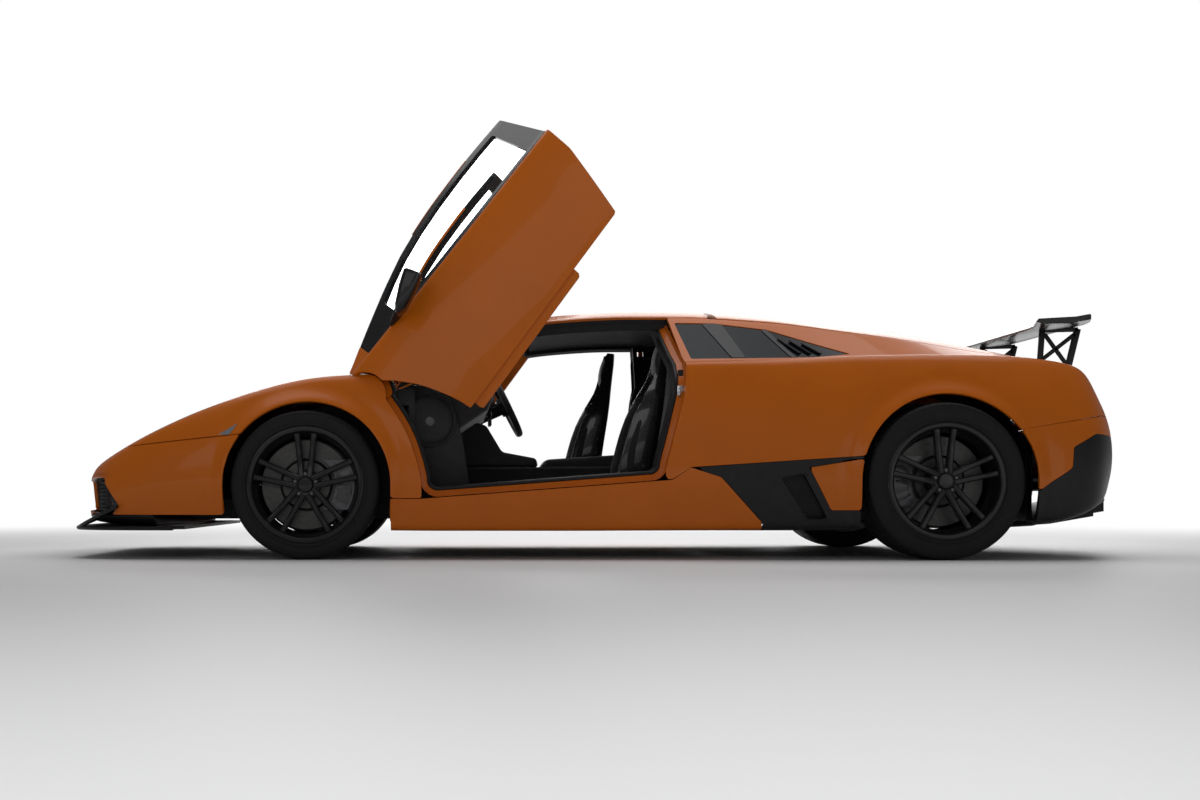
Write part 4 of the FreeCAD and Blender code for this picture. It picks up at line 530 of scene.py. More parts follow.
ABOVE_WAIST, OUTER_SIDE = 0.7 - SZ, 0.55 - SY
ARCH_F, ARCH_R = arch_zone(ARCH_FRONT, 0.38), arch_zone(ARCH_REAR, 0.432)
INTAKE_SIDE = [(NOSE_X - 0.02, 0.345), (front(-877), 0.343), (front(-795), 0.226), (front(-830), 0.188),
               (NOSE_X - 0.02, 0.188)]
INTAKE_ZONE = any_of(all_of(face_zone(INTAKE), SX - front(-862)), all_of(side_zone(INTAKE_SIDE), 0.69 - SY))
LAMP_ZONE = all_of(plan_zone(LAMP_PLAN), 0.3 - SZ)
SEAM_LOW = side_zone([(BUMPER_TOP_X - 0.009, 0.02), (SEAM_REAR[0], 0.02), SEAM_REAR, (BUMPER_TOP_X, 0.478),
                      (BUMPER_TOP_X - 0.009, 0.478)])
UNDER_NOSE = all_of(between(SX, front(-639), front(-190)), SY - 0.64, SZ - 0.24)
UNDER_BONNET = all_of(BUMPER_TOP_X - SX, SY - RAIL - 0.004)
SILL_END = [(front(1612), 0.385), (front(1735), 0.345), (front(1905), 0.157), (front(1915), 0.02)]
FLANK_TOP = [(front(1612), 0.385), (rear(-330), 0.432)]
VENT = [(front(1975), 0.345), (front(2072), 0.358), (front(2172), 0.172), (front(2088), 0.172)]
REAR_SEAM = [(rear(330), 0.545), (rear(690), 0.605), (rear(960), 0.615)]
QUARTER_GLASS = [(front(1632), 0.850), (front(1592), 1.030), (front(1770), 1.028), (front(2000), 1.000),
                 (front(2345), 0.882), (front(2180), 0.866)]
TAIL_LAMP = [(0.330, 0.628), (0.560, 0.600), (0.640, 0.596), (0.600, 0.655), (0.520, 0.668), (0.350, 0.662)]
TAIL_GRILLE = [(-0.480, 0.300), (-0.560, 0.340), (-0.650, 0.535), (-0.540, 0.575), (0.540, 0.575),
               (0.650, 0.535),
               (0.560, 0.340), (0.480, 0.300)]
FLANK_LINE = [(rear(380), 0.292), (rear(520), 0.383), (rear(528), 0.470), (rear(640), 0.528),
              (rear(960), 0.505)]

made = {}

# Front bumper, lamps, wings and bonnet
bumper = all_of(side_zone(BUMPER_ZONE) + GAP, 0.188 - SZ, -INTAKE_ZONE, -UNDER_NOSE, -UNDER_BONNET, -ARCH_F)
made["front_bumper"] = panel("front_bumper_skin", bumper, PAINT, centre=True)
past_door = side_zone([(front(540), 1.3), (door_edge(-0.004)[0][0], 1.3), *door_edge(-0.004),
                       (DOOR_FRONT_LOW[0] - 0.004, SILL_LINE[0][1]), (front(540), SILL_LINE[0][1])])
below_sill = all_of(between(SX, front(352), front(540)), SZ - SILL_LINE[0][1] - 0.0025)
tip_sweep = side_zone([on_hinge(0.094, a) for a in range(129, 60, -3)]
                      + [(HINGE[0] + 0.060, 0.900), (HINGE[0] - 0.060, 0.900)])
fender = all_of(between(SX, BUMPER_TOP_X + GAP, front(520)), RAIL + 0.004 - SY, -ARCH_F, -LAMP_ZONE,
                -(SEAM_LOW - GAP), -past_door, -below_sill, -tip_sweep)
made["front_wing_panels"] = panel("front_wing_skin", fender, PAINT)
lens = all_of(LAMP_ZONE + 0.002, -(SEAM_LOW - GAP))
made["headlamps"] = panel("headlamp_lens", lens, LENS, depth=0.004)
bonnet = all_of(between(SX, front(-765) + 0.002, front(122)), SY - RAIL + 0.004, 0.35 - SZ)
made["bonnet"] = panel("bonnet_skin", bonnet, PAINT, depth=0.016, centre=True)

# Roof, windscreen, engine cover
screen_zone = all_of(between(SX, front(262), front(985)), SY - RAIL + 0.052, ABOVE_WAIST)
roof = all_of(between(SX, front(148), ROOF_REAR_X), SY - RAIL + 0.006, ABOVE_WAIST, -screen_zone)
scuttle = all_of(roof, SX - front(300))
roof_paint = all_of(roof, front(300) + 0.001 - SX)
made["roof_frame"] = [*panel("roof_skin", roof_paint, PAINT, depth=0.010, centre=True),
                      *panel("roof_edge_seal", roof_paint + 0.001, SEAL, depth=0.022, lift=-0.0105,
                             centre=True),
                      *panel("screen_scuttle", scuttle, BLACK, depth=0.03, centre=True)]
made["windscreen"] = panel("windscreen_glass", screen_zone + 0.002, GLASS, depth=0.005, lift=-0.004,
                           centre=True)
PANE_ROWS = [(0.330, 0.150, 0.300), (0.620, 0.165, 0.290), (0.900, 0.165, 0.270)]
pane_zones = []
for x_rear, half_y, length in PANE_ROWS:
    x0 = COVER_FRONT_X + x_rear - 0.220
    outline = [(x0, 0), (x0 + 0.060, half_y + 0.060), (x0 + length - 0.090, half_y + 0.090),
               (x0 + length - 0.040, half_y), (x0 + length, 0)]
    outline += [(x, -y) for x, y in reversed(outline[1:-1])]
    pane_zones.append(all_of(plan_zone(outline), ABOVE_WAIST))
panes = any_of(*pane_zones)
cover = all_of(between(SX, COVER_FRONT_X, COVER_REAR_X), SY - RAIL + 0.004, ABOVE_WAIST)
made["engine_cover"] = panel("engine_cover_skin", all_of(cover, -panes), PAINT, depth=0.018, centre=True)
made["engine_cover_panes"] = panel("engine_cover_glass", panes + 0.0015, DARK_GLASS, depth=0.005, lift=-0.003,
                                   centre=True)

# Sills, flanks and rear quarters
sill_zone = side_zone([(front(352), 0.02), (front(352), 0.255), *[(x, z - 0.001) for x, z in SILL_LINE],
                       *[(x - 0.002, z) for x, z in SILL_END]])
sill = all_of(sill_zone, 0.76 - SY, -ARCH_F)
made["sill_covers"] = panel("sill_skin", sill, PAINT)
flank_zone = side_zone([*[(x + 0.002, z) for x, z in SILL_END[::-1]], FLANK_TOP[1], (rear(-330), 0.02)])
vent_zone = side_zone(VENT)
orange_flank = side_zone([(front(2092), 0.386), (front(2184), 0.206), (front(2330), 0.206),
                          (front(2330), 0.424)])
flank = all_of(flank_zone, 0.76 - SY, -ARCH_R, -vent_zone)
made["flank_panels"] = panel("flank_black", all_of(flank, -orange_flank), BLACK)
made["flank_panels"] += panel("flank_painted", all_of(flank, orange_flank + 0.002), PAINT)
ahead = side_zone([(front(1400), 0.3), (DOOR_REAR_LOW[0] + 0.004, 0.3), (DOOR_REAR_LOW[0] + 0.004, 0.378),
                   (DOOR_REAR_BEND[0] + 0.004, DOOR_REAR_BEND[1]),
                   (DOOR_REAR_WAIST[0] + 0.004, DOOR_REAR_WAIST[1]), (DOOR_REAR_TOP[0] + 0.004, 1.3),
                   (front(1400), 1.3)])
under_quarter = side_zone([(front(1400), 0.02), (front(1400), 0.3375),
                           *[(x, z + 0.0025) for x, z in (SILL_LINE[1], *FLANK_TOP)],
                           (rear(-200), 0.4345), (rear(-200), 0.02)])
seam_up = [(x, z + 0.002) for x, z in REAR_SEAM]
under_tail = side_zone([(rear(-210), 0.02), (rear(-210), 0.440), *seam_up, (rear(1200), 0.62),
                        (rear(1200), 0.02)])
core = any_of(all_of(SX - ROOF_REAR_X - 0.001, SY - RAIL + 0.004),
              all_of(ROOF_REAR_X - SX, SY - RAIL - 0.004))
glass_zone = all_of(side_zone(QUARTER_GLASS), 0.3 - SY)
lamp_zone = all_of(face_zone(TAIL_LAMP), rear(640) - SX)
tail_cap = TAIL_X - 0.024 - SX
quarter = all_of(front(1490) - SX, -ahead, -under_quarter, -under_tail, -core, -ARCH_R, -glass_zone,
                 -lamp_zone,
                 -tail_cap)
made["rear_quarters"] = panel("rear_quarter_skin", quarter, PAINT)
PILLARS = [[(front(1812), 0.86), (front(1875), 0.86), (front(1800), 1.03), (front(1712), 1.03)],
           [(front(2080), 0.86), (front(2102), 0.86), (front(1985), 1.02), (front(1958), 1.02)]]
pillar_zone = any_of(*[side_zone(p) for p in PILLARS])
made["quarter_windows"] = panel("quarter_glass", all_of(glass_zone + 0.0015, -pillar_zone), DARK_GLASS,
                                depth=0.005,
                                lift=-0.003)
made["quarter_windows"] += panel("quarter_pillars", all_of(glass_zone + 0.0015, pillar_zone), BLACK,
                                 depth=0.006)

# Tail
corner_zone = side_zone([(rear(310), 0.292), (rear(310), REAR_SEAM[0][1] - 0.002),
                         *[(x, z - 0.002) for x, z in REAR_SEAM[1:]], (rear(1200), 0.613),
                         (rear(1200), 0.490),
                         *FLANK_LINE[::-1]])
grille_zone = all_of(face_zone(TAIL_GRILLE), rear(640) - SX)
deck = all_of(COVER_REAR_X + 0.008 - SX, SY - RAIL + 0.001, 0.6 - SZ)
cap_face = all_of(tail_cap + 0.003, 0.562 - SZ)
tail = all_of(any_of(deck, corner_zone, cap_face), rear(300) - SX, -lamp_zone, -grille_zone, -ARCH_R)
made["rear_bumper"] = panel("tail_skin", tail, PAINT, centre=True)
valance_zone = side_zone([(rear(310), 0.290), *[(x + 0.0015, z - 0.002) for x, z in FLANK_LINE],
                          (rear(1200), 0.488),
                          (rear(1200), 0.205), (rear(960), 0.205), (rear(560), 0.150), (rear(310), 0.150)])
under_box = all_of(SY - 0.43, SZ - 0.47)
valance = all_of(valance_zone, -grille_zone, -under_box, -ARCH_R)
made["rear_corner_panels"] = panel("rear_corner_skin", valance, BLACK)
made["tail_lamps"] = panel("tail_lamp_lens", lamp_zone + 0.002, RED, depth=0.01, lift=-0.001)

# Doors, built closed and then swung up
outside_rail = RAIL + 0.006 - SY
above_sill = -side_zone([(front(200), 0.02), (front(200), DOOR_FRONT_LOW[1]), DOOR_FRONT_LOW, DOOR_REAR_LOW,
                         (front(1700), DOOR_REAR_LOW[1]), (front(1700), 0.02)])
door_area = all_of(side_zone(door_outline(0)), outside_rail, above_sill, between(SX, *DOOR_SPAN), OUTER_SIDE)
window = side_zone(window_outline(0))
waist = np.interp(SX, DOOR_SPAN, WAIST_Z)
dark_frame = any_of(side_zone(window_outline(0.020)), all_of(front(1330) - SX, waist + 0.008 - SZ),
                    all_of(SX - front(610), waist - SZ, front(392) - SX))
made["door"] = panel("door_skin", all_of(door_area, -dark_frame, -window), PAINT)
made["door"] += panel("door_window_frame", all_of(door_area, dark_frame + 0.0005, -window), GLOSS,
                      depth=0.012,
                      lift=-0.0015)
made["door_window"] = panel("door_glass", all_of(door_area, window + 0.001), GLASS, depth=0.004, lift=-0.006)


# Swing the doors' pieces up, put each panel on the body it rides on and hide the CAD node it stands for
SWING = (Matrix.Translation(Vector((HINGE[0], 0, HINGE[1]))) @ Matrix.Rotation(-DOOR_OPEN, 4, "Y")
         @ Matrix.Translation(Vector((-HINGE[0], 0, -HINGE[1]))))


def settle(obj, body, *nodes):
    """Puts a finished piece on its body and in place of its CAD nodes."""
    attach(obj, body)
    if nodes:
        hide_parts(*nodes)
    return obj


def settle_door(obj, *stems):
    """The same for a door's piece, which was built closed. Each stem is a CAD node's name less its side."""
    side = obj.name.rsplit("_", 1)[1]
    obj.data.transform(SWING)
    return settle(obj, f"door_leaf_{side}", *[f"{stem}_{side}" for stem in stems])


LIDS = {"bonnet": "bonnet_lid", "engine_cover": "engine_lid", "engine_cover_panes": "engine_lid"}
for name, objs in made.items():
    for obj in objs:
        if name in ("door", "door_window"):
            settle_door(obj, name)
        else:
            settle(obj, LIDS.get(name, "body"), name)


# Plain mesh builders
def joined(name, pieces, material, smooth_angle=40):
    """One object from (verts, faces) pieces."""
    verts, faces = [], []
    for v, f in pieces:
        base = len(verts)
        verts.extend(tuple(p) for p in v)
        faces.extend([[i + base for i in g] for g in f])
    obj = mesh_object(name, verts, faces, material)
    return tidy_mesh(obj, smooth_angle)


def bevelled(obj, width, segments=2, angle=40):
    """Rounds an object's sharp edges for good."""
    mod = obj.modifiers.new("edge", "BEVEL")
    mod.width = width
    mod.segments = segments
    mod.limit_method = "ANGLE"
    mod.angle_limit = math.radians(angle)
    apply_modifiers(obj)
    obj.data.shade_smooth()
    obj.data.set_sharp_from_angle(angle=math.radians(50))
    return obj


def body_piece(name, pieces, material, *nodes, angle=40, bevel=0.0, segments=2):
    """One finished piece of the body, in place of its CAD nodes."""
    obj = joined(name, pieces, material, angle)
    if bevel:
        bevelled(obj, bevel, segments)
    return settle(obj, "body", *nodes)


def both_sides(name, pieces, material, *nodes, **options):
    """A piece built on the body's right-hand side, and its mirror image on the left."""
    body_piece(f"{name}_right", pieces, material, *nodes, **options)
    body_piece(f"{name}_left", [flipped(p) for p in pieces], material, *nodes, **options)


def apply_modifiers(obj):
    """Turns an object's modifiers into plain mesh."""
    graph = bpy.context.evaluated_depsgraph_get()
    graph.update()
    mesh = bpy.data.meshes.new_from_object(obj.evaluated_get(graph))
    old = obj.data
    obj.modifiers.clear()
    obj.data = mesh
    bpy.data.meshes.remove(old)
    return obj


def grid_faces(rows, cols, wrap_rows=False, wrap_cols=True, caps=False):
    """The faces of a net of rows by cols points, which may close on itself both ways or have end caps."""
    faces = []
    for i in range(rows if wrap_rows else rows - 1):
        k = (i + 1) % rows
        for j in range(cols if wrap_cols else cols - 1):
            m = (j + 1) % cols
            faces.append([i * cols + j, i * cols + m, k * cols + m, k * cols + j])
    if caps:
        faces += [list(range(cols))[::-1], [(rows - 1) * cols + j for j in range(cols)]]
    return faces


def lofted(sections, cap=True):
    """Skins a row of closed point rings."""
    return [p for s in sections for p in s], grid_faces(len(sections), len(sections[0]), caps=cap)


def ribbon(rings, closed_ring=False):
    """An open sheet through a row of point rings."""
    return [p for r in rings for p in r], grid_faces(len(rings), len(rings[0]), wrap_cols=closed_ring)


def prism(points, low, high, axis):
    """A polygon pushed along an axis: points are (x, z) for axis y, (x, y) for axis z, (y, z) for axis x."""
    order = {"y": lambda p, h: (p[0], h, p[1]), "z": lambda p, h: (p[0], p[1], h),
             "x": lambda p, h: (h, p[0], p[1])}
    return lofted([[order[axis](p, h) for p in points] for h in (low, high)])


def box_piece(x0, x1, y0, y1, z0, z1):
    return prism([(x0, y0), (x1, y0), (x1, y1), (x0, y1)], z0, z1, "z")


def flipped(piece):
    """The mirror image of a piece on the car's other side."""
    verts, faces = piece
    return [(x, -y, z) for x, y, z in verts], [f[::-1] for f in faces]


def swept(path, ring, closed=False):
    """A tube: ring is a list of (side, up) offsets carried along path, a list of points."""
    path = [Vector(p) for p in path]
    n = len(path)
    verts = []
    up = Vector((0, 0, 1))
    for i, p in enumerate(path):
        a = path[i - 1] if (i > 0 or closed) else path[0]
        b = path[(i + 1) % n] if (i < n - 1 or closed) else path[-1]
        along = (b - a).normalized()
        if abs(along.dot(up)) > 0.95:
            up = Vector((0, 1, 0))
        side = along.cross(up).normalized()
        up = side.cross(along).normalized()
        verts.extend(tuple(p + side * s + up * u) for s, u in ring)
    return verts, grid_faces(n, len(ring), wrap_rows=closed, caps=not closed)


def dense(points, step):
    """A polyline with extra points so that none are further apart than step."""
    out = [points[0]]
    for a, b in zip(points, points[1:]):
        n = max(1, int(math.ceil((Vector(b) - Vector(a)).length / step)))
        out += [tuple(Vector(a).lerp(Vector(b), k / n)) for k in range(1, n + 1)]
    return out


def round_ring(radius, count=10, squash=1.0):
    angles = [2 * math.pi * k / count for k in range(count)]
    return [(radius * math.cos(a), radius * squash * math.sin(a)) for a in angles]


def lathe(profile, count=64, closed=False):
    """A solid of revolution round Y from (y, radius) points."""
    angles = [2 * math.pi * i / count for i in range(count)]
    verts = [(r * math.cos(a), y, r * math.sin(a)) for a in angles for y, r in profile]
    return verts, grid_faces(count, len(profile), wrap_rows=True, wrap_cols=closed)


def shifted(x, y, z):
    return Matrix.Translation(Vector((x, y, z)))


def turned(degrees, axis):
    return Matrix.Rotation(math.radians(degrees), 4, axis)


def moved(piece, matrix):
    verts, faces = piece
    return [tuple(matrix @ Vector(v)) for v in verts], faces


def surface_point(x, z):
    """Where the body's right-hand side is at a side-view place: the point and its outward normal."""
    i = int(np.clip(np.searchsorted(GRID_X, x), 1, len(GRID_X) - 1))
    t = (x - GRID_X[i - 1]) / (GRID_X[i] - GRID_X[i - 1])
    rows = SURF[CAP_ROWS + i - 1] * (1 - t) + SURF[CAP_ROWS + i] * t
    norms = NORM[CAP_ROWS + i - 1] * (1 - t) + NORM[CAP_ROWS + i] * t
    best = None
    for j in range(14, rows.shape[0] - 24):
        z0, z1 = rows[j, 2], rows[j + 1, 2]
        if (z0 - z) * (z1 - z) <= 0 and z0 != z1:
            s = (z - z0) / (z1 - z0)
            p = rows[j] * (1 - s) + rows[j + 1] * s
            if best is None or p[1] > best[0][1]:
                best = (p, norms[j] * (1 - s) + norms[j + 1] * s)
    p, n = best
    return Vector(p), Vector(n).normalized()


# Wheels, built round the Y axis with their outer face towards +Y
RIM_SEAT = 0.228
SPOKES = 5
TREAD_BLOCKS = 62
DISC_Y, DISC_HALF, DISC_IN, DISC_OUT = 0.020, 0.015, 0.112, 0.188


def tyre_piece(radius, width):
    """A tyre with four grooves round its tread and cuts across the blocks between them."""
    half, seat, lip = width / 2, RIM_SEAT, 0.016
    tread_half = half - 0.014
    grooves = [share * width for share in (-0.34, -0.13, 0.13, 0.34)]
    across = [-tread_half]
    for g in grooves:
        across += [g - 0.0048, g - 0.0030, g + 0.0030, g + 0.0048]
    across.append(tread_half)
    tread = []
    for a, b in zip(across, across[1:]):
        tread.append(a)
        if b - a > 0.03:
            tread += [a + (b - a) * k / 3 for k in (1, 2)]
    tread.append(tread_half)
    wall = [(-half + lip, seat), (-half + lip - 0.002, seat + 0.012), (-half + 0.008, seat + 0.020),
            (-half + 0.003, seat + 0.023), (-half + 0.0015, seat + 0.030), (-half + 0.004, seat + 0.034),
            (-half + 0.001, seat + 0.048), (-half + 0.0005, seat + (radius - seat) * 0.62),
            (-half + 0.004, radius - 0.020), (-half + 0.0055, radius - 0.0155),
            (-half + 0.0045, radius - 0.0145),
            (-half + 0.008, radius - 0.0085)]
    inner = [(half - 0.036, seat + 0.040), (half - 0.045, radius - 0.030), (-half + 0.045, radius - 0.030),
             (-half + 0.036, seat + 0.040)]
    profile = [("wall", y, r) for y, r in wall] + [("tread", y, 0.0) for y in tread]
    profile += [("wall", -y, r) for y, r in reversed(wall)] + [("wall", y, r) for y, r in inner]
    rings = [((b + share) / TREAD_BLOCKS, cut) for b in range(TREAD_BLOCKS)
             for share, cut in ((0.0, 0), (0.45, 0), (0.87, 0), (0.90, 1), (0.97, 1))]
    verts = []
    for turn, cut in rings:
        for kind, y, r in profile:
            a = 2 * math.pi * turn
            if kind == "tread":
                crown = radius - 0.0045 * (abs(y) / tread_half) ** 4
                in_groove = any(abs(y - g) < 0.0035 for g in grooves)
                outer_block = abs(y) > 0.34 * width + 0.004
                middle_block = 0.13 * width + 0.004 < abs(y) < 0.34 * width - 0.004
                a += 2 * math.pi / TREAD_BLOCKS * 0.5 * y / half
                r = crown - (0.0065 if in_groove else 0.0)
                if cut and (outer_block or middle_block):
                    r = crown - 0.004
            verts.append((r * math.cos(a), y, r * math.sin(a)))
    return verts, grid_faces(len(rings), len(profile), wrap_rows=True)


def spoke_piece(face, side, angle):
    """One bar of a twin spoke: a bevelled section carried outwards from the hub to the rim."""
    inner, outer, stations = 0.036, 0.219, 12
    rings = []
    for i in range(stations):
        t = i / (stations - 1)
        r = inner + (outer - inner) * t
        middle = side * (0.0170 + (0.0365 - 0.0170) * t)
        half = 0.0108 + 0.0045 * max(0, t - 0.75) * 4 * 0.6 + 0.002 * (1 - t)
        top = face - 0.003 - 0.010 * math.sin(math.pi * min(t * 1.1, 1)) * 0.6
        deep = 0.028 + 0.010 * (1 - t)
        ring = [(-half, top - deep), (-half, top - 0.005), (-half * 0.62, top - 0.0008), (0.0, top),
                (half * 0.62, top - 0.0008), (half, top - 0.005), (half, top - deep),
                (0.0, top - deep - 0.003)]
        rings.append([(r, y, middle + s) for s, y in ring])
    return moved(lofted(rings), Matrix.Rotation(angle, 4, "Y"))


def nut_piece(radius, y0, y1, x, z):
    """A six-sided nut with a chamfered top."""
    corners = [(math.cos(math.pi * k / 3), math.sin(math.pi * k / 3)) for k in range(6)]
    rings = ((radius, y0), (radius, y1 - 0.002), (radius * 0.85, y1))
    return lofted([[(x + r * c, y, z + r * s) for c, s in corners] for r, y in rings])


def rim_pieces(width):
    """The rim with its spokes and hub, its cap, and its nuts and valve."""
    half = width / 2 - 0.008
    seat, wall = RIM_SEAT, 0.012
    face = half - 0.014
    barrel = lathe([(-half, seat + 0.018), (-half, seat - wall), (-half + 0.04, seat - wall - 0.010),
                    (half - 0.060, seat - wall - 0.012), (half - 0.034, seat - wall - 0.004),
                    (half - 0.016, seat - wall + 0.002), (half - 0.005, seat - wall + 0.006),
                    (half - 0.001, seat - wall + 0.010), (half, seat + 0.006), (half, seat + 0.014),
                    (half - 0.002, seat + 0.018), (half - 0.007, seat + 0.0178), (half - 0.009, seat + 0.004),
                    (half - 0.012, seat), (0.0, seat - 0.002), (-half + 0.012, seat),
                    (-half + 0.010, seat + 0.016)],
                   96, closed=True)
    turns = [2 * math.pi * n / SPOKES for n in range(SPOKES)]
    spokes = [spoke_piece(face, side, turn - math.pi / 2) for turn in turns for side in (-1, 1)]
    hub = lathe([(0.0, 0.0), (0.0, 0.058), (face - 0.030, 0.062), (face - 0.016, 0.060),
                 (face - 0.0125, 0.055),
                 (face - 0.012, 0.036), (face - 0.013, 0.034), (face - 0.013, 0.0)], 60)
    cap = lathe([(face - 0.014, 0.031), (face - 0.006, 0.031), (face - 0.0035, 0.0285),
                 (face - 0.0028, 0.020),
                 (face - 0.0024, 0.0)], 48)
    nuts = [nut_piece(0.0085, face - 0.016, face - 0.003, 0.0455 * math.cos(turn + math.pi / 2),
                      0.0455 * math.sin(turn + math.pi / 2)) for turn in turns]
    valve = swept([(0.198, face - 0.030, 0.0), (0.188, face - 0.014, 0.0)], round_ring(0.0038, 8))
    return [barrel, *spokes, hub], [cap], [*nuts, valve]


def disc_pieces():
    """A vented, cross-drilled brake disc and its bell."""
    y, half, r_in, r_out = DISC_Y, DISC_HALF, DISC_IN, DISC_OUT
    count, rings = 150, 10
    verts, faces = [], []
    radii = [r_in + (r_out - r_in) * k / rings for k in range(rings + 1)]
    for side in (-1, 1):
        base = len(verts)
        for i in range(count):
            a = 2 * math.pi * i / count
            verts.extend((r * math.cos(a), y + side * half, r * math.sin(a)) for r in radii)
        for i in range(count):
            here, there = base + i * (rings + 1), base + (i + 1) % count * (rings + 1)
            for j in range(rings):
                if j in (2, 4, 6, 8) and (i * 3 + j * 2) % 15 == 0:
                    continue
                q = [here + j, here + j + 1, there + j + 1, there + j]
                faces.append(q if side > 0 else q[::-1])
    edge = lathe([(y - half, r_out), (y - 0.006, r_out - 0.0005), (y - 0.005, r_out - 0.004),
                  (y + 0.005, r_out - 0.004), (y + 0.006, r_out - 0.0005), (y + half, r_out)], 120)
    core = lathe([(y - 0.010, r_in), (y - 0.010, r_out - 0.006), (y + 0.010, r_out - 0.006),
                  (y + 0.010, r_in)], 96)
    bell = lathe([(y + half, r_in), (y + half + 0.004, r_in - 0.006), (y + half + 0.010, 0.100),
                  (y + half + 0.012, 0.064)], 72)
    inner_bell = lathe([(y - half, 0.063), (y - half, r_in)], 72)
    return [(verts, faces), edge, core, bell, inner_bell]


def caliper_piece(direction):
    """The brake caliper over the disc, towards +X or -X from the axle."""
    low, high, steps = 0.1235, 0.2055, 15
    span = math.radians(33)
    ring = [(-0.040, low), (-0.040, high - 0.010), (-0.030, high), (0.030, high), (0.040, high - 0.012),
            (0.0405, (low + high) / 2), (0.0395, low + 0.012), (0.034, low), (0.0215, low),
            (0.0215, high - 0.012),
            (-0.0215, high - 0.012), (-0.0215, low)]
    rings = []
    for i in range(steps):
        t = i / (steps - 1)
        a = -span + 2 * span * t
        ribs = 0.0022 if i % 4 in (1, 2) else 0.0
        ends = 1 - 0.012 * (abs(2 * t - 1) ** 6) / 0.04
        rings.append([(direction * r * math.cos(a), DISC_Y + dy * ends + (ribs if dy > 0.03 else 0),
                       r * math.sin(a))
                      for dy, r in ring])
    return lofted(rings)


WHEELS = [("front", FRONT_X, FRONT_R, 0.245, FRONT_TRACK), ("rear", REAR_X, REAR_R, 0.335, REAR_TRACK)]
SHIELD_PROFILE = [(-0.016, 0.060), (-0.016, 0.196), (-0.012, 0.199), (-0.018, 0.199), (-0.0185, 0.060)]
for end, axle_x, radius, width, track in WHEELS:
    for side_name, side in SIDES:
        centre = shifted(axle_x, side * track / 2, radius)
        place = centre if side > 0 else centre @ turned(180, "Z")
        node = f"{end}_{side_name}"
        rim_parts, cap_parts, nut_parts = rim_pieces(width)
        for name, pieces, mat, angle, replaced in (
                ("tyre_tread", [tyre_piece(radius, width)], TYRE, 35, "tyre"),
                ("twin_spoke_rim", rim_parts, RIM, 30, "rim"), ("hub_cap", cap_parts, GLOSS, 30, "rim"),
                ("wheel_nuts", nut_parts, METAL, 30, "rim"),
                ("drilled_disc", disc_pieces(), DISC, 30, "brake_disc")):
            obj = joined(f"{node}_{name}", pieces, mat, angle)
            obj.data.transform(place)
            settle(obj, f"wheel_{end}_{side_name}", f"{node}_{replaced}")
        # What stays beside the turning wheel is mirrored instead, since it leads one way along the car
        for name, piece, mat in (("dust_shield", lathe(SHIELD_PROFILE, 64), BLACK),
                                 ("caliper", caliper_piece(1 if end == "front" else -1), CALIPER)):
            obj = joined(f"{node}_{name}", [piece], mat, 35)
            obj.data.transform(centre @ Matrix.Scale(side, 4, (0, 1, 0)))
            tidy_mesh(obj, 35)
            settle(obj, f"knuckle_{side_name}" if end == "front" else "body")


# Splitter, and the meshes in the openings of the nose and the flanks


BLADE = [(front(x), y) for x, y in ((-1040, 0), (-1040, 0.21), (-1040, 0.42), (-1036, 0.60), (-1010, 0.715),
                                    (-950, 0.80), (-850, 0.868), (-700, 0.905), (-560, 0.905))]


def smooth_outline(points, count):
    """A curve through points, as evenly spaced ones, kept straight at its ends."""
    pts = np.array(points)
    run = np.concatenate([[0], np.cumsum(np.hypot(*np.diff(pts, axis=0).T))])
    at = np.linspace(0, run[-1], count)
    out = np.stack([np.interp(at, run, pts[:, 0]), np.interp(at, run, pts[:, 1])], 1)
    return blur(out, 2.0)


edge = smooth_outline(BLADE, 60)
right_edge = [(float(x), float(y)) for x, y in edge]
lip_path = [(x, -y) for x, y in right_edge[:0:-1]] + right_edge
profile = [(0.0, 0.131), (0.003, 0.1375), (0.008, 0.140), (0.060, 0.140), (0.060, 0.126), (0.008, 0.122),
           (0.003, 0.1245)]
sections = []
for i, (x, y) in enumerate(lip_path):
    a, b = lip_path[max(i - 1, 0)], lip_path[min(i + 1, len(lip_path) - 1)]
    dx, dy = b[0] - a[0], b[1] - a[1]
    run = math.hypot(dx, dy)
    nx, ny = dy / run, -dx / run
    inward = 1 if nx * (front(-560) - x) - ny * y > 0 else -1
    sections.append([(x + inward * nx * d, y + inward * ny * d, z) for d, z in profile])
tray = [(x + 0.045, y * 0.95) for x, y in lip_path]
# The blade's corners rise towards the wheels
corner = []
for x in np.linspace(front(-1000), front(-800), 12):
    rise = 0.088 * (x - front(-1000)) / 0.200
    out = float(np.interp(x, edge[30:, 0], edge[30:, 1])) - 0.002
    low = max(0.128, 0.126 + rise)
    corner.append([(x, 0.71, low), (x, out, low), (x, out, 0.140 + rise), (x, 0.71, 0.140 + rise)])
body_piece("splitter_blade", [lofted(sections), prism(tray, 0.1262, 0.1398, "z"), lofted(corner),
                              flipped(lofted(corner))], BLACK, "front_splitter", angle=35)
skirt_zone = all_of(SX - front(-641), 0.130 - SZ, SZ - 0.185, -UNDER_NOSE)
for obj in panel("splitter_skirt", skirt_zone, BLACK, centre=True):
    settle(obj, "body", "front_splitter")


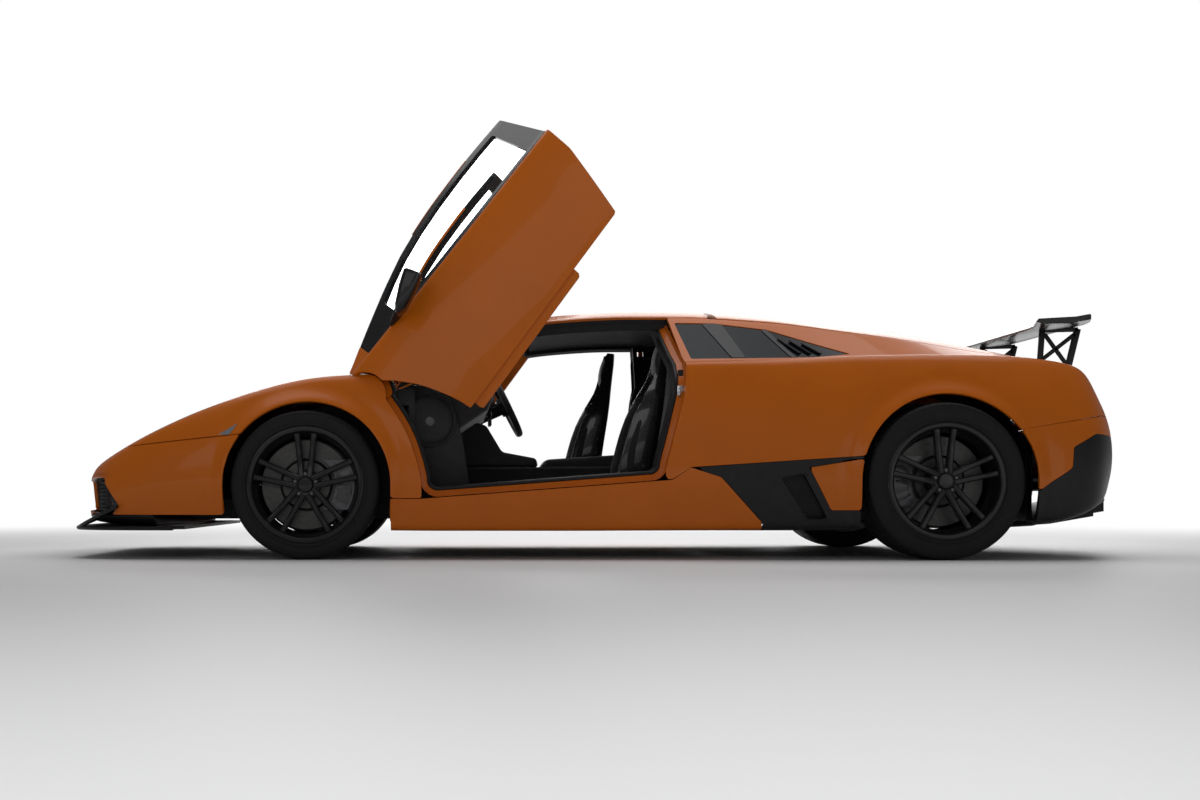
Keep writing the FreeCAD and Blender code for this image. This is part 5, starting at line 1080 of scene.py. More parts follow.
def hex_mesh(outline, place, cell, wire, thick):
    """A sheet of hexagonal wire mesh cut to an outline; place turns flat (u, v) points into places."""
    pts = np.array(outline)
    low, high = pts.min(0), pts.max(0)
    pieces = []
    dx, dy = cell * math.sqrt(3), cell * 1.5
    rows = int((high[1] - low[1]) / dy) + 3
    cols = int((high[0] - low[0]) / dx) + 3
    done = set()
    for r in range(-1, rows):
        for c in range(-1, cols):
            cx = low[0] + c * dx + (dx / 2 if r % 2 else 0)
            cy = low[1] + r * dy
            corners = [(cx + cell * math.sin(k * math.pi / 3), cy + cell * math.cos(k * math.pi / 3))
                       for k in range(6)]
            for a, b in zip(corners, corners[1:] + corners[:1]):
                key = (round((a[0] + b[0]) * 5000), round((a[1] + b[1]) * 5000))
                if key in done:
                    continue
                done.add(key)
                mid = (np.array([(a[0] + b[0]) / 2]), np.array([(a[1] + b[1]) / 2]))
                if inside(outline, *mid)[0] > -wire:
                    continue
                run = math.hypot(b[0] - a[0], b[1] - a[1])
                nx, ny = -(b[1] - a[1]) / run * wire, (b[0] - a[0]) / run * wire
                flat = [(a[0] + nx, a[1] + ny), (b[0] + nx, b[1] + ny), (b[0] - nx, b[1] - ny),
                        (a[0] - nx, a[1] - ny)]
                verts = [place(u, v, w) for w in (0.0, thick) for u, v in flat]
                faces = [[0, 1, 2, 3], [7, 6, 5, 4], [0, 4, 5, 1], [2, 6, 7, 3]]
                pieces.append((verts, faces))
    return pieces


MESH_SET_IN = 0.045
NOSE_ROW = 40
NOSE_XS, NOSE_YS = SURF[CAP_ROWS:120, NOSE_ROW, 0], SURF[CAP_ROWS:120, NOSE_ROW, 1]
outward = np.argsort(NOSE_YS)
NOSE_XS, NOSE_YS = NOSE_XS[outward], NOSE_YS[outward]
NOSE_RUN = np.concatenate([[NOSE_YS[0]],
                           NOSE_YS[0] + np.cumsum(np.hypot(np.diff(NOSE_XS), np.diff(NOSE_YS)))])
slope_x, slope_y = np.gradient(blur(NOSE_XS, 2.0), NOSE_RUN), np.gradient(blur(NOSE_YS, 2.0), NOSE_RUN)
NOSE_NX, NOSE_NY = slope_y / np.hypot(slope_x, slope_y), -slope_x / np.hypot(slope_x, slope_y)


def nose_place(u, v, w):
    """Behind the right-hand front opening: u runs along the nose's outline in plan, which is set in."""
    x, y, nx, ny = (float(np.interp(u, NOSE_RUN, values)) for values in (NOSE_XS, NOSE_YS, NOSE_NX, NOSE_NY))
    return x + nx * (MESH_SET_IN + w), y + ny * (MESH_SET_IN + w), v


def flank_place(u, v, w):
    """Under the right-hand flank at the side-view place (u, v)."""
    p, n = surface_point(u, v)
    return tuple(p - n * (0.020 + w))


def run_at(x=None, y=None):
    """How far along the nose's outline a place in x or in y lies."""
    return float(np.interp(y, NOSE_YS, NOSE_RUN) if x is None else np.interp(x, NOSE_XS, NOSE_RUN))


end = run_at(x=front(-790))
grown = [(run_at(y=0.205), 0.200), (run_at(y=0.742), 0.188), (run_at(x=front(-830)), 0.184), (end, 0.222),
         (run_at(x=front(-872)), 0.350), (run_at(y=0.782), 0.356), (run_at(y=0.275), 0.338)]
both_sides("intake_mesh", hex_mesh(grown, nose_place, 0.011, 0.0011, 0.003), GRILLE, "front_and_side_mesh",
           angle=60)
cols = np.linspace(run_at(y=0.195), end, 30)
low_z = np.interp(cols, [run_at(y=0.195), run_at(y=0.745), end], [0.190, 0.180, 0.184])
high_z = np.interp(cols, [run_at(y=0.195), run_at(y=0.268), run_at(y=0.786), end],
                   [0.192, 0.345, 0.362, 0.356])
duct = [[nose_place(u, z, w) for u, z in zip(cols, zs)]
        for zs, w in ((low_z, -0.035), (low_z, 0.05), (high_z, 0.05), (high_z, -0.035))]
both_sides("intake_duct", [ribbon(duct)], BLACK, "front_and_side_mesh")

grown = [(VENT[0][0] - 0.004, VENT[0][1] + 0.004), (VENT[1][0] + 0.006, VENT[1][1] + 0.004),
         (VENT[2][0] + 0.006, VENT[2][1] - 0.004), (VENT[3][0] - 0.006, VENT[3][1] - 0.004)]
both_sides("vent_mesh", hex_mesh(grown, flank_place, 0.0085, 0.0011, 0.002), GRILLE, "front_and_side_mesh",
           angle=60)
corners = [surface_point(x, z)[0] for x, z in grown]
rim_ring, front_ring, back_ring = ([(p.x, p.y - depth, p.z) for p in corners]
                                   for depth in (0.002, 0.012, 0.060))
both_sides("vent_frame", [swept(rim_ring, round_ring(0.0045, 8), closed=True)], GLOSS, angle=50)
duct = (front_ring + back_ring, [*grid_faces(2, 4), [4, 5, 6, 7]])
both_sides("vent_duct", [duct], BLACK, "front_and_side_mesh", angle=20)


# Door apertures: a painted jamb, a rubber seal and the trim behind them
def sill_height(x):
    """The height of the sill at a place along the car."""
    return float(np.interp(x, [p[0] for p in SILL_LINE], [p[1] + 0.003 for p in SILL_LINE]))


def aperture_path():
    """The body's side of the door gap in side view: down the front, along the sill and up the back."""
    edge = door_edge(-0.004)[3:-1]
    corner_a = arc_points((front(484), 0.345), (front(501), 0.289), (front(556), sill_height(front(556))), 7)
    low = [(front(x), sill_height(front(x))) for x in (620, 760, 900, 1040, 1180, 1320, 1400)]
    corner_b = arc_points((front(1438), sill_height(front(1438))), (front(1492), 0.350), (front(1514), 0.404),
                          7)
    back = [(front(1514 + 77 * t), 0.404 + (0.700 - 0.404) * t) for t in (0.2, 0.4, 0.6, 0.8, 1.0)]
    top = [(front(x), z) for x, z in ((1596, 0.76), (1599, 0.829), (1592, 0.87), (1580, 0.92), (1569, 0.97),
                                      (1558, 1.02))]
    return edge + [tuple(p) for p in corner_a] + low + [tuple(p) for p in corner_b] + back + top


def jamb_piece(offsets):
    """A ribbon round the aperture; an offset is how far into the opening and how deep under the skin."""
    path = aperture_path()
    rings = []
    for i, (x, z) in enumerate(path):
        a, b = path[max(i - 1, 0)], path[min(i + 1, len(path) - 1)]
        dx, dz = b[0] - a[0], b[1] - a[1]
        run = math.hypot(dx, dz)
        nx, nz = -dz / run, dx / run
        p, n = surface_point(x, min(z, 1.035))
        slope = max(n.y, 0.5)
        rings.append([(x + nx * s, p.y - d / slope, z + nz * s) for s, d in offsets])
    return rings


jamb = ribbon(jamb_piece([(0.000, 0.004), (0.001, 0.030), (0.002, 0.048), (0.024, 0.054), (0.028, 0.058),
                          (0.030, 0.090)]))
seal_path = [ring[0] for ring in jamb_piece([(0.032, 0.062)])]
seal = swept(dense(seal_path, 0.04), round_ring(0.0095, 10))
trim = ribbon(jamb_piece([(0.034, 0.070), (0.039, 0.095), (0.044, 0.150)]))
for name, piece, mat in (("door_jamb", jamb, PAINT), ("door_seal", seal, SEAL), ("jamb_trim", trim, TRIM)):
    both_sides(name, [piece], mat, angle=45)

# Sill treads with bright strips, strikers and buffers
tread = []
for x in np.linspace(front(560), front(1500), 24):
    z = sill_height(x)
    y = surface_point(x, z)[0].y - 0.066
    tread.append([(x, y, z + 0.004), (x, y - 0.012, z + 0.011), (x, 0.80, z + 0.014), (x, 0.772, z + 0.009),
                  (x, 0.768, z - 0.09)])
both_sides("sill_tread", [ribbon(tread)], CARPET)
strips = []
for y, half_width in ((0.862, 0.0075), (0.812, 0.0045)):
    rings = []
    for x in np.linspace(front(720), front(1330), 16):
        z = sill_height(x) + 0.0132
        rings.append([(x, y + half_width, z), (x, y + half_width * 0.6, z + 0.003),
                      (x, y - half_width * 0.6, z + 0.003), (x, y - half_width, z)])
    strips.append(ribbon(rings))
both_sides("tread_strips", strips, BRIGHT)
striker_x, striker_y = front(1582), surface_point(front(1588), 0.70)[0].y - 0.056
plate = box_piece(striker_x - 0.018, striker_x + 0.012, striker_y - 0.002, striker_y + 0.004, 0.668, 0.732)
loop = swept([(striker_x - 0.010, striker_y + out, z)
              for out, z in ((0.004, 0.684), (0.020, 0.690), (0.020, 0.712),
                                                                     (0.004, 0.718))], round_ring(0.004, 8))
both_sides("door_striker", [plate, loop], STEEL, bevel=0.001)
buffers = [box_piece(striker_x + x0, striker_x + x1, striker_y, striker_y + 0.010, z0, z1)
           for x0, x1, z0, z1 in ((-0.026, -0.002, 0.560, 0.590), (-0.016, 0.006, 0.772, 0.798))]
both_sides("door_buffers", buffers, SEAL, bevel=0.003)

# Kick panels with speakers, and the foot wells
kick = prism([(front(440), 0.250), (front(700), 0.268), (front(660), 0.520), (front(610), 0.690),
              (front(500), 0.745), (front(440), 0.745)], 0.702, 0.722, "y")
both_sides("kick_panel", [kick], TRIM, bevel=0.006)
foot_well = prism([(front(456), 0.150), (front(700), 0.150), (front(560), 0.300), (front(456), 0.360)], 0.16,
                  0.70,
                  "y")
both_sides("foot_well", [foot_well], CARPET, bevel=0.01)
speaker_place = shifted(front(520), 0, 0.590)
speaker = lathe([(0.722, 0.0), (0.724, 0.030), (0.722, 0.075), (0.727, 0.098), (0.732, 0.104), (0.730, 0.112),
                 (0.722, 0.114)], 48)
cone = lathe([(0.7255, 0.0), (0.7275, 0.012), (0.7255, 0.020)], 24)
both_sides("speaker_grille", [moved(speaker, speaker_place)], GRILLE)
both_sides("speaker_cap", [moved(cone, speaker_place)], METAL)

# Headliner, pillar trims and roof rail trims
liner_zone = all_of(between(SX, front(1000), front(1690)), SY - RAIL + 0.012, ABOVE_WAIST)
pillar_trim = all_of(between(SX, front(300), front(1004)), SY - RAIL + 0.010, RAIL - 0.056 - SY, ABOVE_WAIST)
rail_trim = all_of(between(SX, front(985), front(1690)), SY - RAIL + 0.004, RAIL - 0.045 - SY, ABOVE_WAIST)
pillar_back = np.interp(SZ, [0.384, 0.700, 0.829, 1.020],
                        [front(1536), front(1618), front(1626), front(1586)])
quarter_trim = all_of(pillar_back - 0.060 - SX, SX - front(1700), 0.36 - SZ, 0.5 - SY)
for obj in [*panel("quarter_inner_trim", quarter_trim, TRIM, depth=0.010, lift=-0.099),
            *panel("headliner", liner_zone, CARPET, depth=0.006, lift=-0.037, centre=True),
            *panel("pillar_trim", pillar_trim, TRIM, depth=0.010, lift=-0.0365),
            *panel("roof_rail_trim", rail_trim, TRIM, depth=0.030, lift=-0.031)]:
    settle(obj, "body")

# Door linings: a painted inner shell with a lower flange, seals, and a dark card
door_wide = all_of(side_zone(door_outline(0.006)), RAIL + 0.03 - SY, between(SX, *DOOR_SPAN), OUTER_SIDE)
sill_up = np.interp(SX, [p[0] for p in SILL_LINE], [p[1] + 0.006 for p in SILL_LINE])
skin_low = np.interp(SX, [DOOR_FRONT_LOW[0], DOOR_REAR_LOW[0]], [DOOR_FRONT_LOW[1], DOOR_REAR_LOW[1]])
shell_zone = all_of(door_wide + 0.040, SZ - waist + 0.004)
card_zone = all_of(door_wide + 0.044, skin_low + 0.014 - SZ, SZ - waist + 0.010)
flange_zone = all_of(between(SX, front(522), front(1213)), sill_up + 0.003 - SZ, SZ - skin_low - 0.020)
frame_trim_zone = all_of(side_zone(door_outline(0.004)), RAIL + 0.010 - SY, between(SX, *DOOR_SPAN),
                         OUTER_SIDE,
                         -window + 0.001, waist - 0.004 - SZ)
edge_zone = all_of(side_zone(door_outline(0.001)), RAIL + 0.0062 - SY, SY - RAIL - 0.0105, waist - SZ,
                   between(SX, front(330), front(1560)))
for obj in [*panel("door_inner_shell", shell_zone, PAINT, depth=0.050, lift=-0.034),
            *panel("door_flange", flange_zone, PAINT, depth=0.032, lift=-0.0125),
            *panel("door_frame_trim", frame_trim_zone, TRIM, depth=0.010, lift=-0.014),
            *panel("door_edge_seal", edge_zone, SEAL, depth=0.016, lift=-0.002),
            *panel("door_card", card_zone, TRIM, depth=0.008, lift=-0.085)]:
    settle_door(obj)


def both_doors(name, piece, material, *stems, angle=45, bevel=0.0):
    """A piece built on the closed right-hand door, and its mirror image on the left one."""
    for side_name, part in (("right", piece), ("left", flipped(piece))):
        obj = joined(f"{name}_{side_name}", [part], material, angle)
        if bevel:
            bevelled(obj, bevel, 3, 35)
        settle_door(obj, *stems)


# Door pulls, the pads along the waist and the latches
pull = []
for x, z, reach in ((900, 0.640, 0.100), (960, 0.628, 0.126), (1060, 0.624, 0.126), (1160, 0.632, 0.126),
                    (1220, 0.648, 0.100)):
    pull.append((front(x), surface_point(front(x), z)[0].y - reach, z))
both_doors("door_pull", swept(dense(pull, 0.02), round_ring(0.012, 10, 1.4)), TRIM)
belt = []
for x in np.linspace(front(470), front(1500), 40):
    z = float(np.interp(x, DOOR_SPAN, WAIST_Z))
    belt.append((x, surface_point(x, z)[0].y - 0.075, z - 0.006))
both_doors("belt_line_pad", swept(belt, round_ring(0.018, 12, 0.7)), TRIM)
both_doors("door_latch", box_piece(front(1520), front(1548), 0.86, 0.90, 0.66, 0.74), METAL)


# Door mirrors: u runs forward from the mirror glass, and the whole head rises 20 degrees towards its glass
MIRROR_X, MIRROR_Z, MIRROR_TILT = front(760), 0.852, math.radians(20)


def on_mirror(u, w, y, size=1.0):
    """A point of the mirror head: u along it, w across it in side view."""
    u, w = u * size, w * size
    return (MIRROR_X + u * math.cos(MIRROR_TILT) - w * math.sin(MIRROR_TILT), y,
            MIRROR_Z + u * math.sin(MIRROR_TILT) + w * math.cos(MIRROR_TILT))


HEAD_SHAPE = [(-0.190, -0.006), (-0.160, -0.026), (-0.080, -0.038), (-0.006, -0.041), (0.000, -0.034),
              (0.001, 0.0),
              (0.000, 0.034), (-0.006, 0.041), (-0.070, 0.038), (-0.150, 0.026), (-0.186, 0.010)]
HEAD_ROWS = ((0.930, 0.62), (0.934, 0.84), (0.948, 0.96), (0.975, 1.0), (1.030, 0.99), (1.066, 0.94),
             (1.082, 0.80), (1.088, 0.56))
head = lofted([[on_mirror(u, w, y, size) for u, w in HEAD_SHAPE] for y, size in HEAD_ROWS])
both_doors("mirror_head", head, GLOSS, "door_mirror", angle=60, bevel=0.006)
stalk_rings = []
for y, x, z, w, h in ((0.872, front(575), 0.795, 0.036, 0.014), (0.900, front(580), 0.800, 0.034, 0.011),
                      (0.935, front(600), 0.806, 0.032, 0.012), (0.960, front(612), 0.808, 0.030, 0.014)):
    stalk_rings.append([(x + w * math.cos(a), y, z + h * math.sin(a))
                        for a in np.linspace(0, 2 * math.pi, 14, endpoint=False)])
both_doors("mirror_stalk", lofted(stalk_rings), BLACK, "door_mirror", angle=60)
face = ((0.950, -0.030), (1.066, -0.033), (1.074, 0.000), (1.064, 0.033), (0.952, 0.030), (0.944, 0.000))
glass = lofted([[on_mirror(u, w, y) for y, w in face] for u in (0.0005, 0.0030)])
both_doors("mirror_glass", glass, STEEL, "door_mirror", angle=60)

# Seats: a hard bucket shell with separate pads that are swollen by a short cloth simulation
# Each row is a place (x, z) along the back or the base, its half width and how far the sides reach forward
BACK_ROWS = [(-0.030, 0.190, 0.200, 0.100), (0.006, 0.275, 0.212, 0.125), (0.030, 0.398, 0.226, 0.130),
             (0.048, 0.521, 0.234, 0.118), (0.066, 0.633, 0.232, 0.096), (0.080, 0.724, 0.205, 0.066),
             (0.090, 0.794, 0.146, 0.040), (0.099, 0.863, 0.116, 0.030), (0.107, 0.928, 0.108, 0.026),
             (0.111, 0.976, 0.088, 0.016)]
BASE_ROWS = [(-0.478, 0.272, 0.196, 0.040), (-0.440, 0.246, 0.206, 0.082), (-0.330, 0.216, 0.214, 0.124),
             (-0.200, 0.196, 0.218, 0.150), (-0.080, 0.186, 0.216, 0.172), (0.010, 0.190, 0.212, 0.160)]
SHELL_RING = [(0.0, -0.024), (0.6, -0.024), (0.9, -0.014), (1.0, 0.010), (1.0, 0.55), (0.965, 1.0),
              (0.90, 0.98),
              (0.885, 0.50), (0.80, 0.012), (0.55, -0.006), (0.0, -0.008)]


def frames_of(rows, count):
    """Evenly spaced places along a seat's back or base: point, forward direction, half width and reach."""
    pts = np.array(rows)
    run = np.concatenate([[0], np.cumsum(np.hypot(*np.diff(pts[:, :2], axis=0).T))])
    at = np.linspace(0, run[-1], count)
    cols = np.stack([monotone(run, pts[:, k], at) for k in range(4)], 1)
    tangent = np.gradient(cols[:, :2], axis=0)
    tangent /= np.linalg.norm(tangent, axis=1, keepdims=True)
    ahead = np.stack([-tangent[:, 1], tangent[:, 0]], 1)
    return cols, ahead


def trough(rows):
    """The hard shell's back or base as one lofted U."""
    cols, ahead = frames_of(rows, 26)
    rings = []
    for (x, z, half, reach), (ax, az) in zip(cols, ahead):
        ring = []
        for share, depth in SHELL_RING:
            f = depth if abs(depth) < 0.1 else depth * reach
            ring.append((x + ax * f, share * half, z + az * f))
        mirror = [(px, -py, pz) for px, py, pz in ring[1:-1][::-1]]
        rings.append(ring + mirror)
    return lofted(rings)


FINE = 60
PAD_RING = ((0, 0), (0.25, 0), (0.5, 0), (0.75, 0), (1, 0), (1.0, 0.6), (0.92, 0.9), (0.7, 1), (0.5, 1.04),
            (0.3, 1),
            (0.08, 0.9), (0.0, 0.6))


def stretch_of(rows, t0, t1, count):
    """Places on a share of back or base: point, half width, reach, forward direction, nearness to an end."""
    cols, ahead = frames_of(rows, FINE)
    for n, p in enumerate(np.linspace(t0 * (FINE - 1), t1 * (FINE - 1), count)):
        yield (*cols[int(round(p))], *ahead[int(round(p))], min(n, count - 1 - n) / (count - 1) * 2)


def pad_piece(rows, t0, t1, share, low, thick):
    """A closed, crowned pad on a stretch of the back or base, over a share of its width."""
    rings = []
    for x, z, half, _, ax, az, end in stretch_of(rows, t0, t1, 12):
        swell = 1 - 0.25 * (1 - end) ** 2
        ring = [((2 * u - 1) * share * half, low + thick * v * swell) for u, v in PAD_RING]
        rings.append([(x + ax * f, y, z + az * f) for y, f in ring])
    return lofted(rings)


def side_pad(rows, t0, t1, side):
    """A long bolster lying against the inside and over the edge of the shell's side."""
    rings = []
    for x, z, half, reach, ax, az, end in stretch_of(rows, t0, t1, 14):
        fat = 0.7 + 0.3 * min(end * 2.2, 1)
        middle_y, middle_f = half * 0.84, 0.012 + reach * 0.55
        ring = [(middle_y + 0.027 * fat * c, middle_f + reach * 0.46 * fat * s)
                for c, s in round_ring(1.0, 14)]
        rings.append([(x + ax * f, side * y, z + az * f) for y, f in ring])
    return lofted(rings)


PAD_CAP = 0.009
seat_pads = [("seat_back_pad_1", pad_piece(BACK_ROWS, 0.12, 0.29, 0.66, 0.002, 0.030)),
             ("seat_back_pad_2", pad_piece(BACK_ROWS, 0.30, 0.46, 0.66, 0.002, 0.030)),
             ("seat_back_pad_3", pad_piece(BACK_ROWS, 0.47, 0.62, 0.66, 0.002, 0.030)),
             ("seat_head_pad", pad_piece(BACK_ROWS, 0.80, 0.97, 0.78, 0.000, 0.030)),
             ("seat_base_pad_1", pad_piece(BASE_ROWS, 0.03, 0.44, 0.72, 0.004, 0.052)),
             ("seat_base_pad_2", pad_piece(BASE_ROWS, 0.46, 0.92, 0.72, 0.004, 0.050))]
for side, word in ((-1, "left"), (1, "right")):
    seat_pads.append((f"seat_back_bolster_{word}", side_pad(BACK_ROWS, 0.10, 0.68, side)))
    seat_pads.append((f"seat_base_bolster_{word}", side_pad(BASE_ROWS, 0.06, 0.90, side)))


def swollen(objs):
    """Remeshes the pads evenly, lets them swell as cloth, and keeps the outcome as plain mesh."""
    for obj in objs:
        even = obj.modifiers.new("even", "REMESH")
        even.mode = "VOXEL"
        even.voxel_size = 0.0055
        apply_modifiers(obj)
    before = {}
    for obj in objs:
        before[obj.name] = np.array([v.co[:] for v in obj.data.vertices])
        cloth = obj.modifiers.new("air", "CLOTH")
        cloth.settings.quality = 4
        cloth.settings.mass = 0.3
        cloth.settings.use_pressure = True
        cloth.settings.uniform_pressure_force = 4.0
        cloth.settings.effector_weights.gravity = 0
    for step in range(1, 21):
        bpy.context.scene.frame_set(step)
    for obj in objs:
        apply_modifiers(obj)
        after = np.array([v.co[:] for v in obj.data.vertices])
        move = after - before[obj.name]
        far = np.linalg.norm(move, axis=1, keepdims=True)
        move *= np.minimum(1, PAD_CAP / np.maximum(far, 1e-9))
        obj.data.vertices.foreach_set("co", (before[obj.name] + move).ravel())
    bpy.context.scene.frame_set(1)
    for obj in objs:
        soft = obj.modifiers.new("soft", "SUBSURF")
        soft.levels = soft.render_levels = 1
        apply_modifiers(obj)
        obj.data.shade_smooth()


pad_objs = [joined(name, [piece], SUEDE, 80) for name, piece in seat_pads]
swollen(pad_objs)
seat_shell = joined("seat_shell", [trough(BACK_ROWS), trough(BASE_ROWS)], SHELL, 60)
bevelled(seat_shell, 0.004)
seat_rails = joined("seat_rails",
                    [box_piece(-0.44, 0.02, y - 0.022, y + 0.022, 0.148, 0.176) for y in (-0.17, 0.17)],
                    METAL, 40)
bevelled(seat_rails, 0.004)
SEATS = (("left", front(1460), -0.385), ("right", front(1288), 0.385))
for seat_name, foot_x, y_mid in SEATS:
    for obj in [*pad_objs, seat_shell, seat_rails]:
        copy = collection_link(bpy.data.objects.new(f"{obj.name}_{seat_name}_seat", obj.data.copy()))
        copy.data.transform(shifted(foot_x, y_mid, 0))
        settle(copy, "body", "bucket_seats")
for obj in [*pad_objs, seat_shell, seat_rails]:
    mesh = obj.data
    bpy.data.objects.remove(obj)
    bpy.data.meshes.remove(mesh)

# Dashboard, console, rear wall and floor
WALL_X = front(456)
TO_TAIL = turned(-90, "Z")
dash_top = prism([(WALL_X + 0.004, 0.575), (front(640), 0.552), (front(770), 0.640), (front(792), 0.690),
                  (front(796), 0.735), (front(770), 0.758), (front(700), 0.772), (front(540), 0.766),
                  (WALL_X + 0.004, 0.700)], -0.695, 0.695, "y")
binnacle = prism([(front(600), 0.700), (front(780), 0.700), (front(800), 0.775), (front(788), 0.792),
                  (front(690), 0.790), (front(600), 0.770)], 0.235, 0.535, "y")
console = prism([(WALL_X + 0.006, 0.404), (front(1020), 0.404), (front(1010), 0.445), (front(850), 0.475),
                 (front(775), 0.600), (front(740), 0.610), (WALL_X + 0.006, 0.600)], -0.112, 0.112, "y")
armrest = prism([(front(1030), 0.404), (front(1640), 0.404), (front(1640), 0.455), (front(1600), 0.475),
                 (front(1060), 0.440)], -0.105, 0.105, "y")
for name, piece, mat, width in (("dash_pad", dash_top, SUEDE, 0.022),
                                ("dash_binnacle", binnacle, TRIM, 0.018),
                                ("centre_console", console, TRIM, 0.014),
                                ("tunnel_cover", armrest, SUEDE, 0.016)):
    body_piece(name, [piece], mat, "dashboard", bevel=width, segments=4)
VENT_PROFILE = [(0.0, 0.0), (0.004, 0.012), (0.002, 0.018), (0.002, 0.030), (0.008, 0.036), (0.010, 0.042),
                (0.004, 0.046), (-0.01, 0.046)]
vents = [moved(lathe(VENT_PROFILE, 36), shifted(front(790), y, 0.700) @ TO_TAIL)
         for y in (-0.60, -0.16, 0.16, 0.62)]
body_piece("dash_vents", vents, METAL, "dashboard")
dials = []
for y, radius in ((0.320, 0.048), (0.420, 0.048), (0.490, 0.026)):
    dial = lathe([(0.0, 0.0), (0.0, radius * 0.86), (0.006, radius * 0.9), (0.006, radius), (-0.01, radius)],
                 36)
    dials.append(moved(dial, shifted(front(800), y, 0.735) @ TO_TAIL))
body_piece("dash_dials", dials, GRILLE, "dashboard")
screen_box = box_piece(front(786), front(801), -0.085, 0.085, 0.600, 0.662)
body_piece("dash_screen", [screen_box], GLOSS, "dashboard", bevel=0.004)
console_plate = box_piece(front(860), front(950), -0.045, 0.045, 0.440, 0.452)
body_piece("console_plate", [console_plate], STEEL, "dashboard", bevel=0.003)
wall_trim = prism([(-0.74, 0.15), (0.74, 0.15), (0.74, 0.79), (0.50, 0.985), (-0.50, 0.985), (-0.74, 0.79)],
                  front(1650), front(1664), "x")
body_piece("rear_wall_trim", [wall_trim], CARPET, bevel=0.006)
floor_mats = [box_piece(front(560), front(1600), low, high, 0.149, 0.157)
              for low, high in ((-0.745, -0.14), (0.14, 0.745))]
body_piece("cabin_carpet_floor", floor_mats, CARPET, bevel=0.003)
tunnel_trim = prism([(-0.134, 0.150), (-0.134, 0.395), (-0.124, 0.4035), (0.124, 0.4035), (0.134, 0.395),
                     (0.134, 0.150)], front(458), front(1648), "x")
body_piece("tunnel_trim", [tunnel_trim], CARPET)
pedals = []
for y, low in ((0.285, 0.235), (0.365, 0.250), (0.455, 0.250)):
    plate = box_piece(-0.004, 0.004, -0.022, 0.022, -0.040, 0.040)
    pedals.append(moved(plate, shifted(front(640), y, low) @ Matrix.Rotation(-0.4, 4, "Y")))
    pedals.append(swept([(front(632), y, low + 0.02), (front(560), y, low + 0.26)], round_ring(0.007, 8)))
body_piece("pedals", pedals, STEEL, "dashboard")

# Steering wheel, built flat and then tilted; its rim is flattened a little at the bottom
WHEEL_R = 0.166
wheel_place = shifted(front(882), 0.385, 0.720) @ turned(64, "Y")
ring = []
for k in range(72):
    a = 2 * math.pi * k / 72
    flat = 1 - 0.05 * math.exp(-(a / 0.45) ** 2) - 0.05 * math.exp(-((a - 2 * math.pi) / 0.45) ** 2)
    ring.append((WHEEL_R * flat * math.cos(a), WHEEL_R * math.sin(a), 0.0))
grip = [(0.0135 * math.cos(t), 0.0165 * math.sin(t)) for t in np.linspace(0, 2 * math.pi, 14, endpoint=False)]
spokes = []
for degrees, wide in ((0, 0.020), (100, 0.024), (-100, 0.024)):
    arm = prism([(0.030, -wide), (0.156, -wide * 0.62), (0.156, wide * 0.62), (0.030, wide)], -0.010, 0.000,
                "z")
    spokes.append(moved(arm, turned(degrees, "Z")))
boss = lathe([(-0.034, 0.0), (-0.034, 0.046), (0.0, 0.052), (0.012, 0.046), (0.018, 0.030), (0.020, 0.0)], 40)
column = lathe([(-0.150, 0.0), (-0.150, 0.030), (-0.032, 0.034), (-0.032, 0.0)], 28)
stalks = [swept([(-0.02, s * 0.03, -0.06), (-0.03, s * 0.155, -0.055)], round_ring(0.0055, 8))
          for s in (-1, 1)]
for name, pieces, mat in (("steering_rim", [swept(ring, grip, closed=True)], SUEDE),
                          ("steering_spokes", spokes, METAL),
                          ("steering_boss", [moved(boss, turned(90, "X"))], TRIM),
                          ("steering_column", [moved(column, turned(90, "X")), *stalks], TRIM)):
    body_piece(name, [moved(p, wheel_place) for p in pieces], mat, "steering_wheel", angle=50)

# Headlamps: dark housing, two projectors and a light strip, behind the clear lens
for obj in panel("lamp_housing", all_of(LAMP_ZONE + 0.004, -(SEAM_LOW - GAP)), GLOSS, depth=0.003,
                 lift=-0.050):
    settle(obj, "body", "headlamps")


def top_point(x, y, drop=0.0):
    """A point on the body's upper surface at a plan place, or a distance under it."""
    i = CAP_ROWS + int(np.clip(round((x - NOSE_X) / (TAIL_X - NOSE_X) * (len(GRID_X) - 1)), 0,
                               len(GRID_X) - 1))
    rows = SURF[i, 55:]
    order_y = np.argsort(rows[:, 1])
    return Vector((x, y, float(np.interp(abs(y), rows[order_y, 1], rows[order_y, 2])) - drop))


rims, projectors = [], []
for x, y, radius in ((front(-655), 0.700, 0.044), (front(-575), 0.745, 0.036)):
    aim = Matrix.Translation(top_point(x, y, 0.034)) @ turned(-62, "Y") @ turned(90, "X")
    rim = lathe([(-0.02, radius), (0.004, radius), (0.008, radius * 0.94), (-0.004, radius * 0.84)], 32)
    lamp = lathe([(-0.004, radius * 0.84), (0.006, radius * 0.6), (0.010, radius * 0.3), (0.011, 0.0)], 32)
    rims.append(moved(rim, aim))
    projectors.append(moved(lamp, aim))
strip = [tuple(top_point(front(x), y, 0.020))
         for x, y in ((-735, 0.600), (-700, 0.700), (-640, 0.782), (-540, 0.800),
                                                         (-470, 0.798))]
for name, pieces, mat in (("lamp_rims", rims, SILVER), ("lamp_projectors", projectors, SILVER),
                          ("lamp_strip", [swept(dense(strip, 0.02), round_ring(0.006, 8))], LENS)):
    both_sides(name, pieces, mat, "headlamps", angle=50)

# Side marker lamps ahead of the front arches
MARKER = [(-1.682, 0.522), (-1.629, 0.523), (-1.592, 0.576)]
marker_zone = side_zone(MARKER)
for obj in panel("side_marker", marker_zone + 0.0005, SILVER, depth=0.003, lift=0.0015):
    settle(obj, "body", "front_wing_panels")

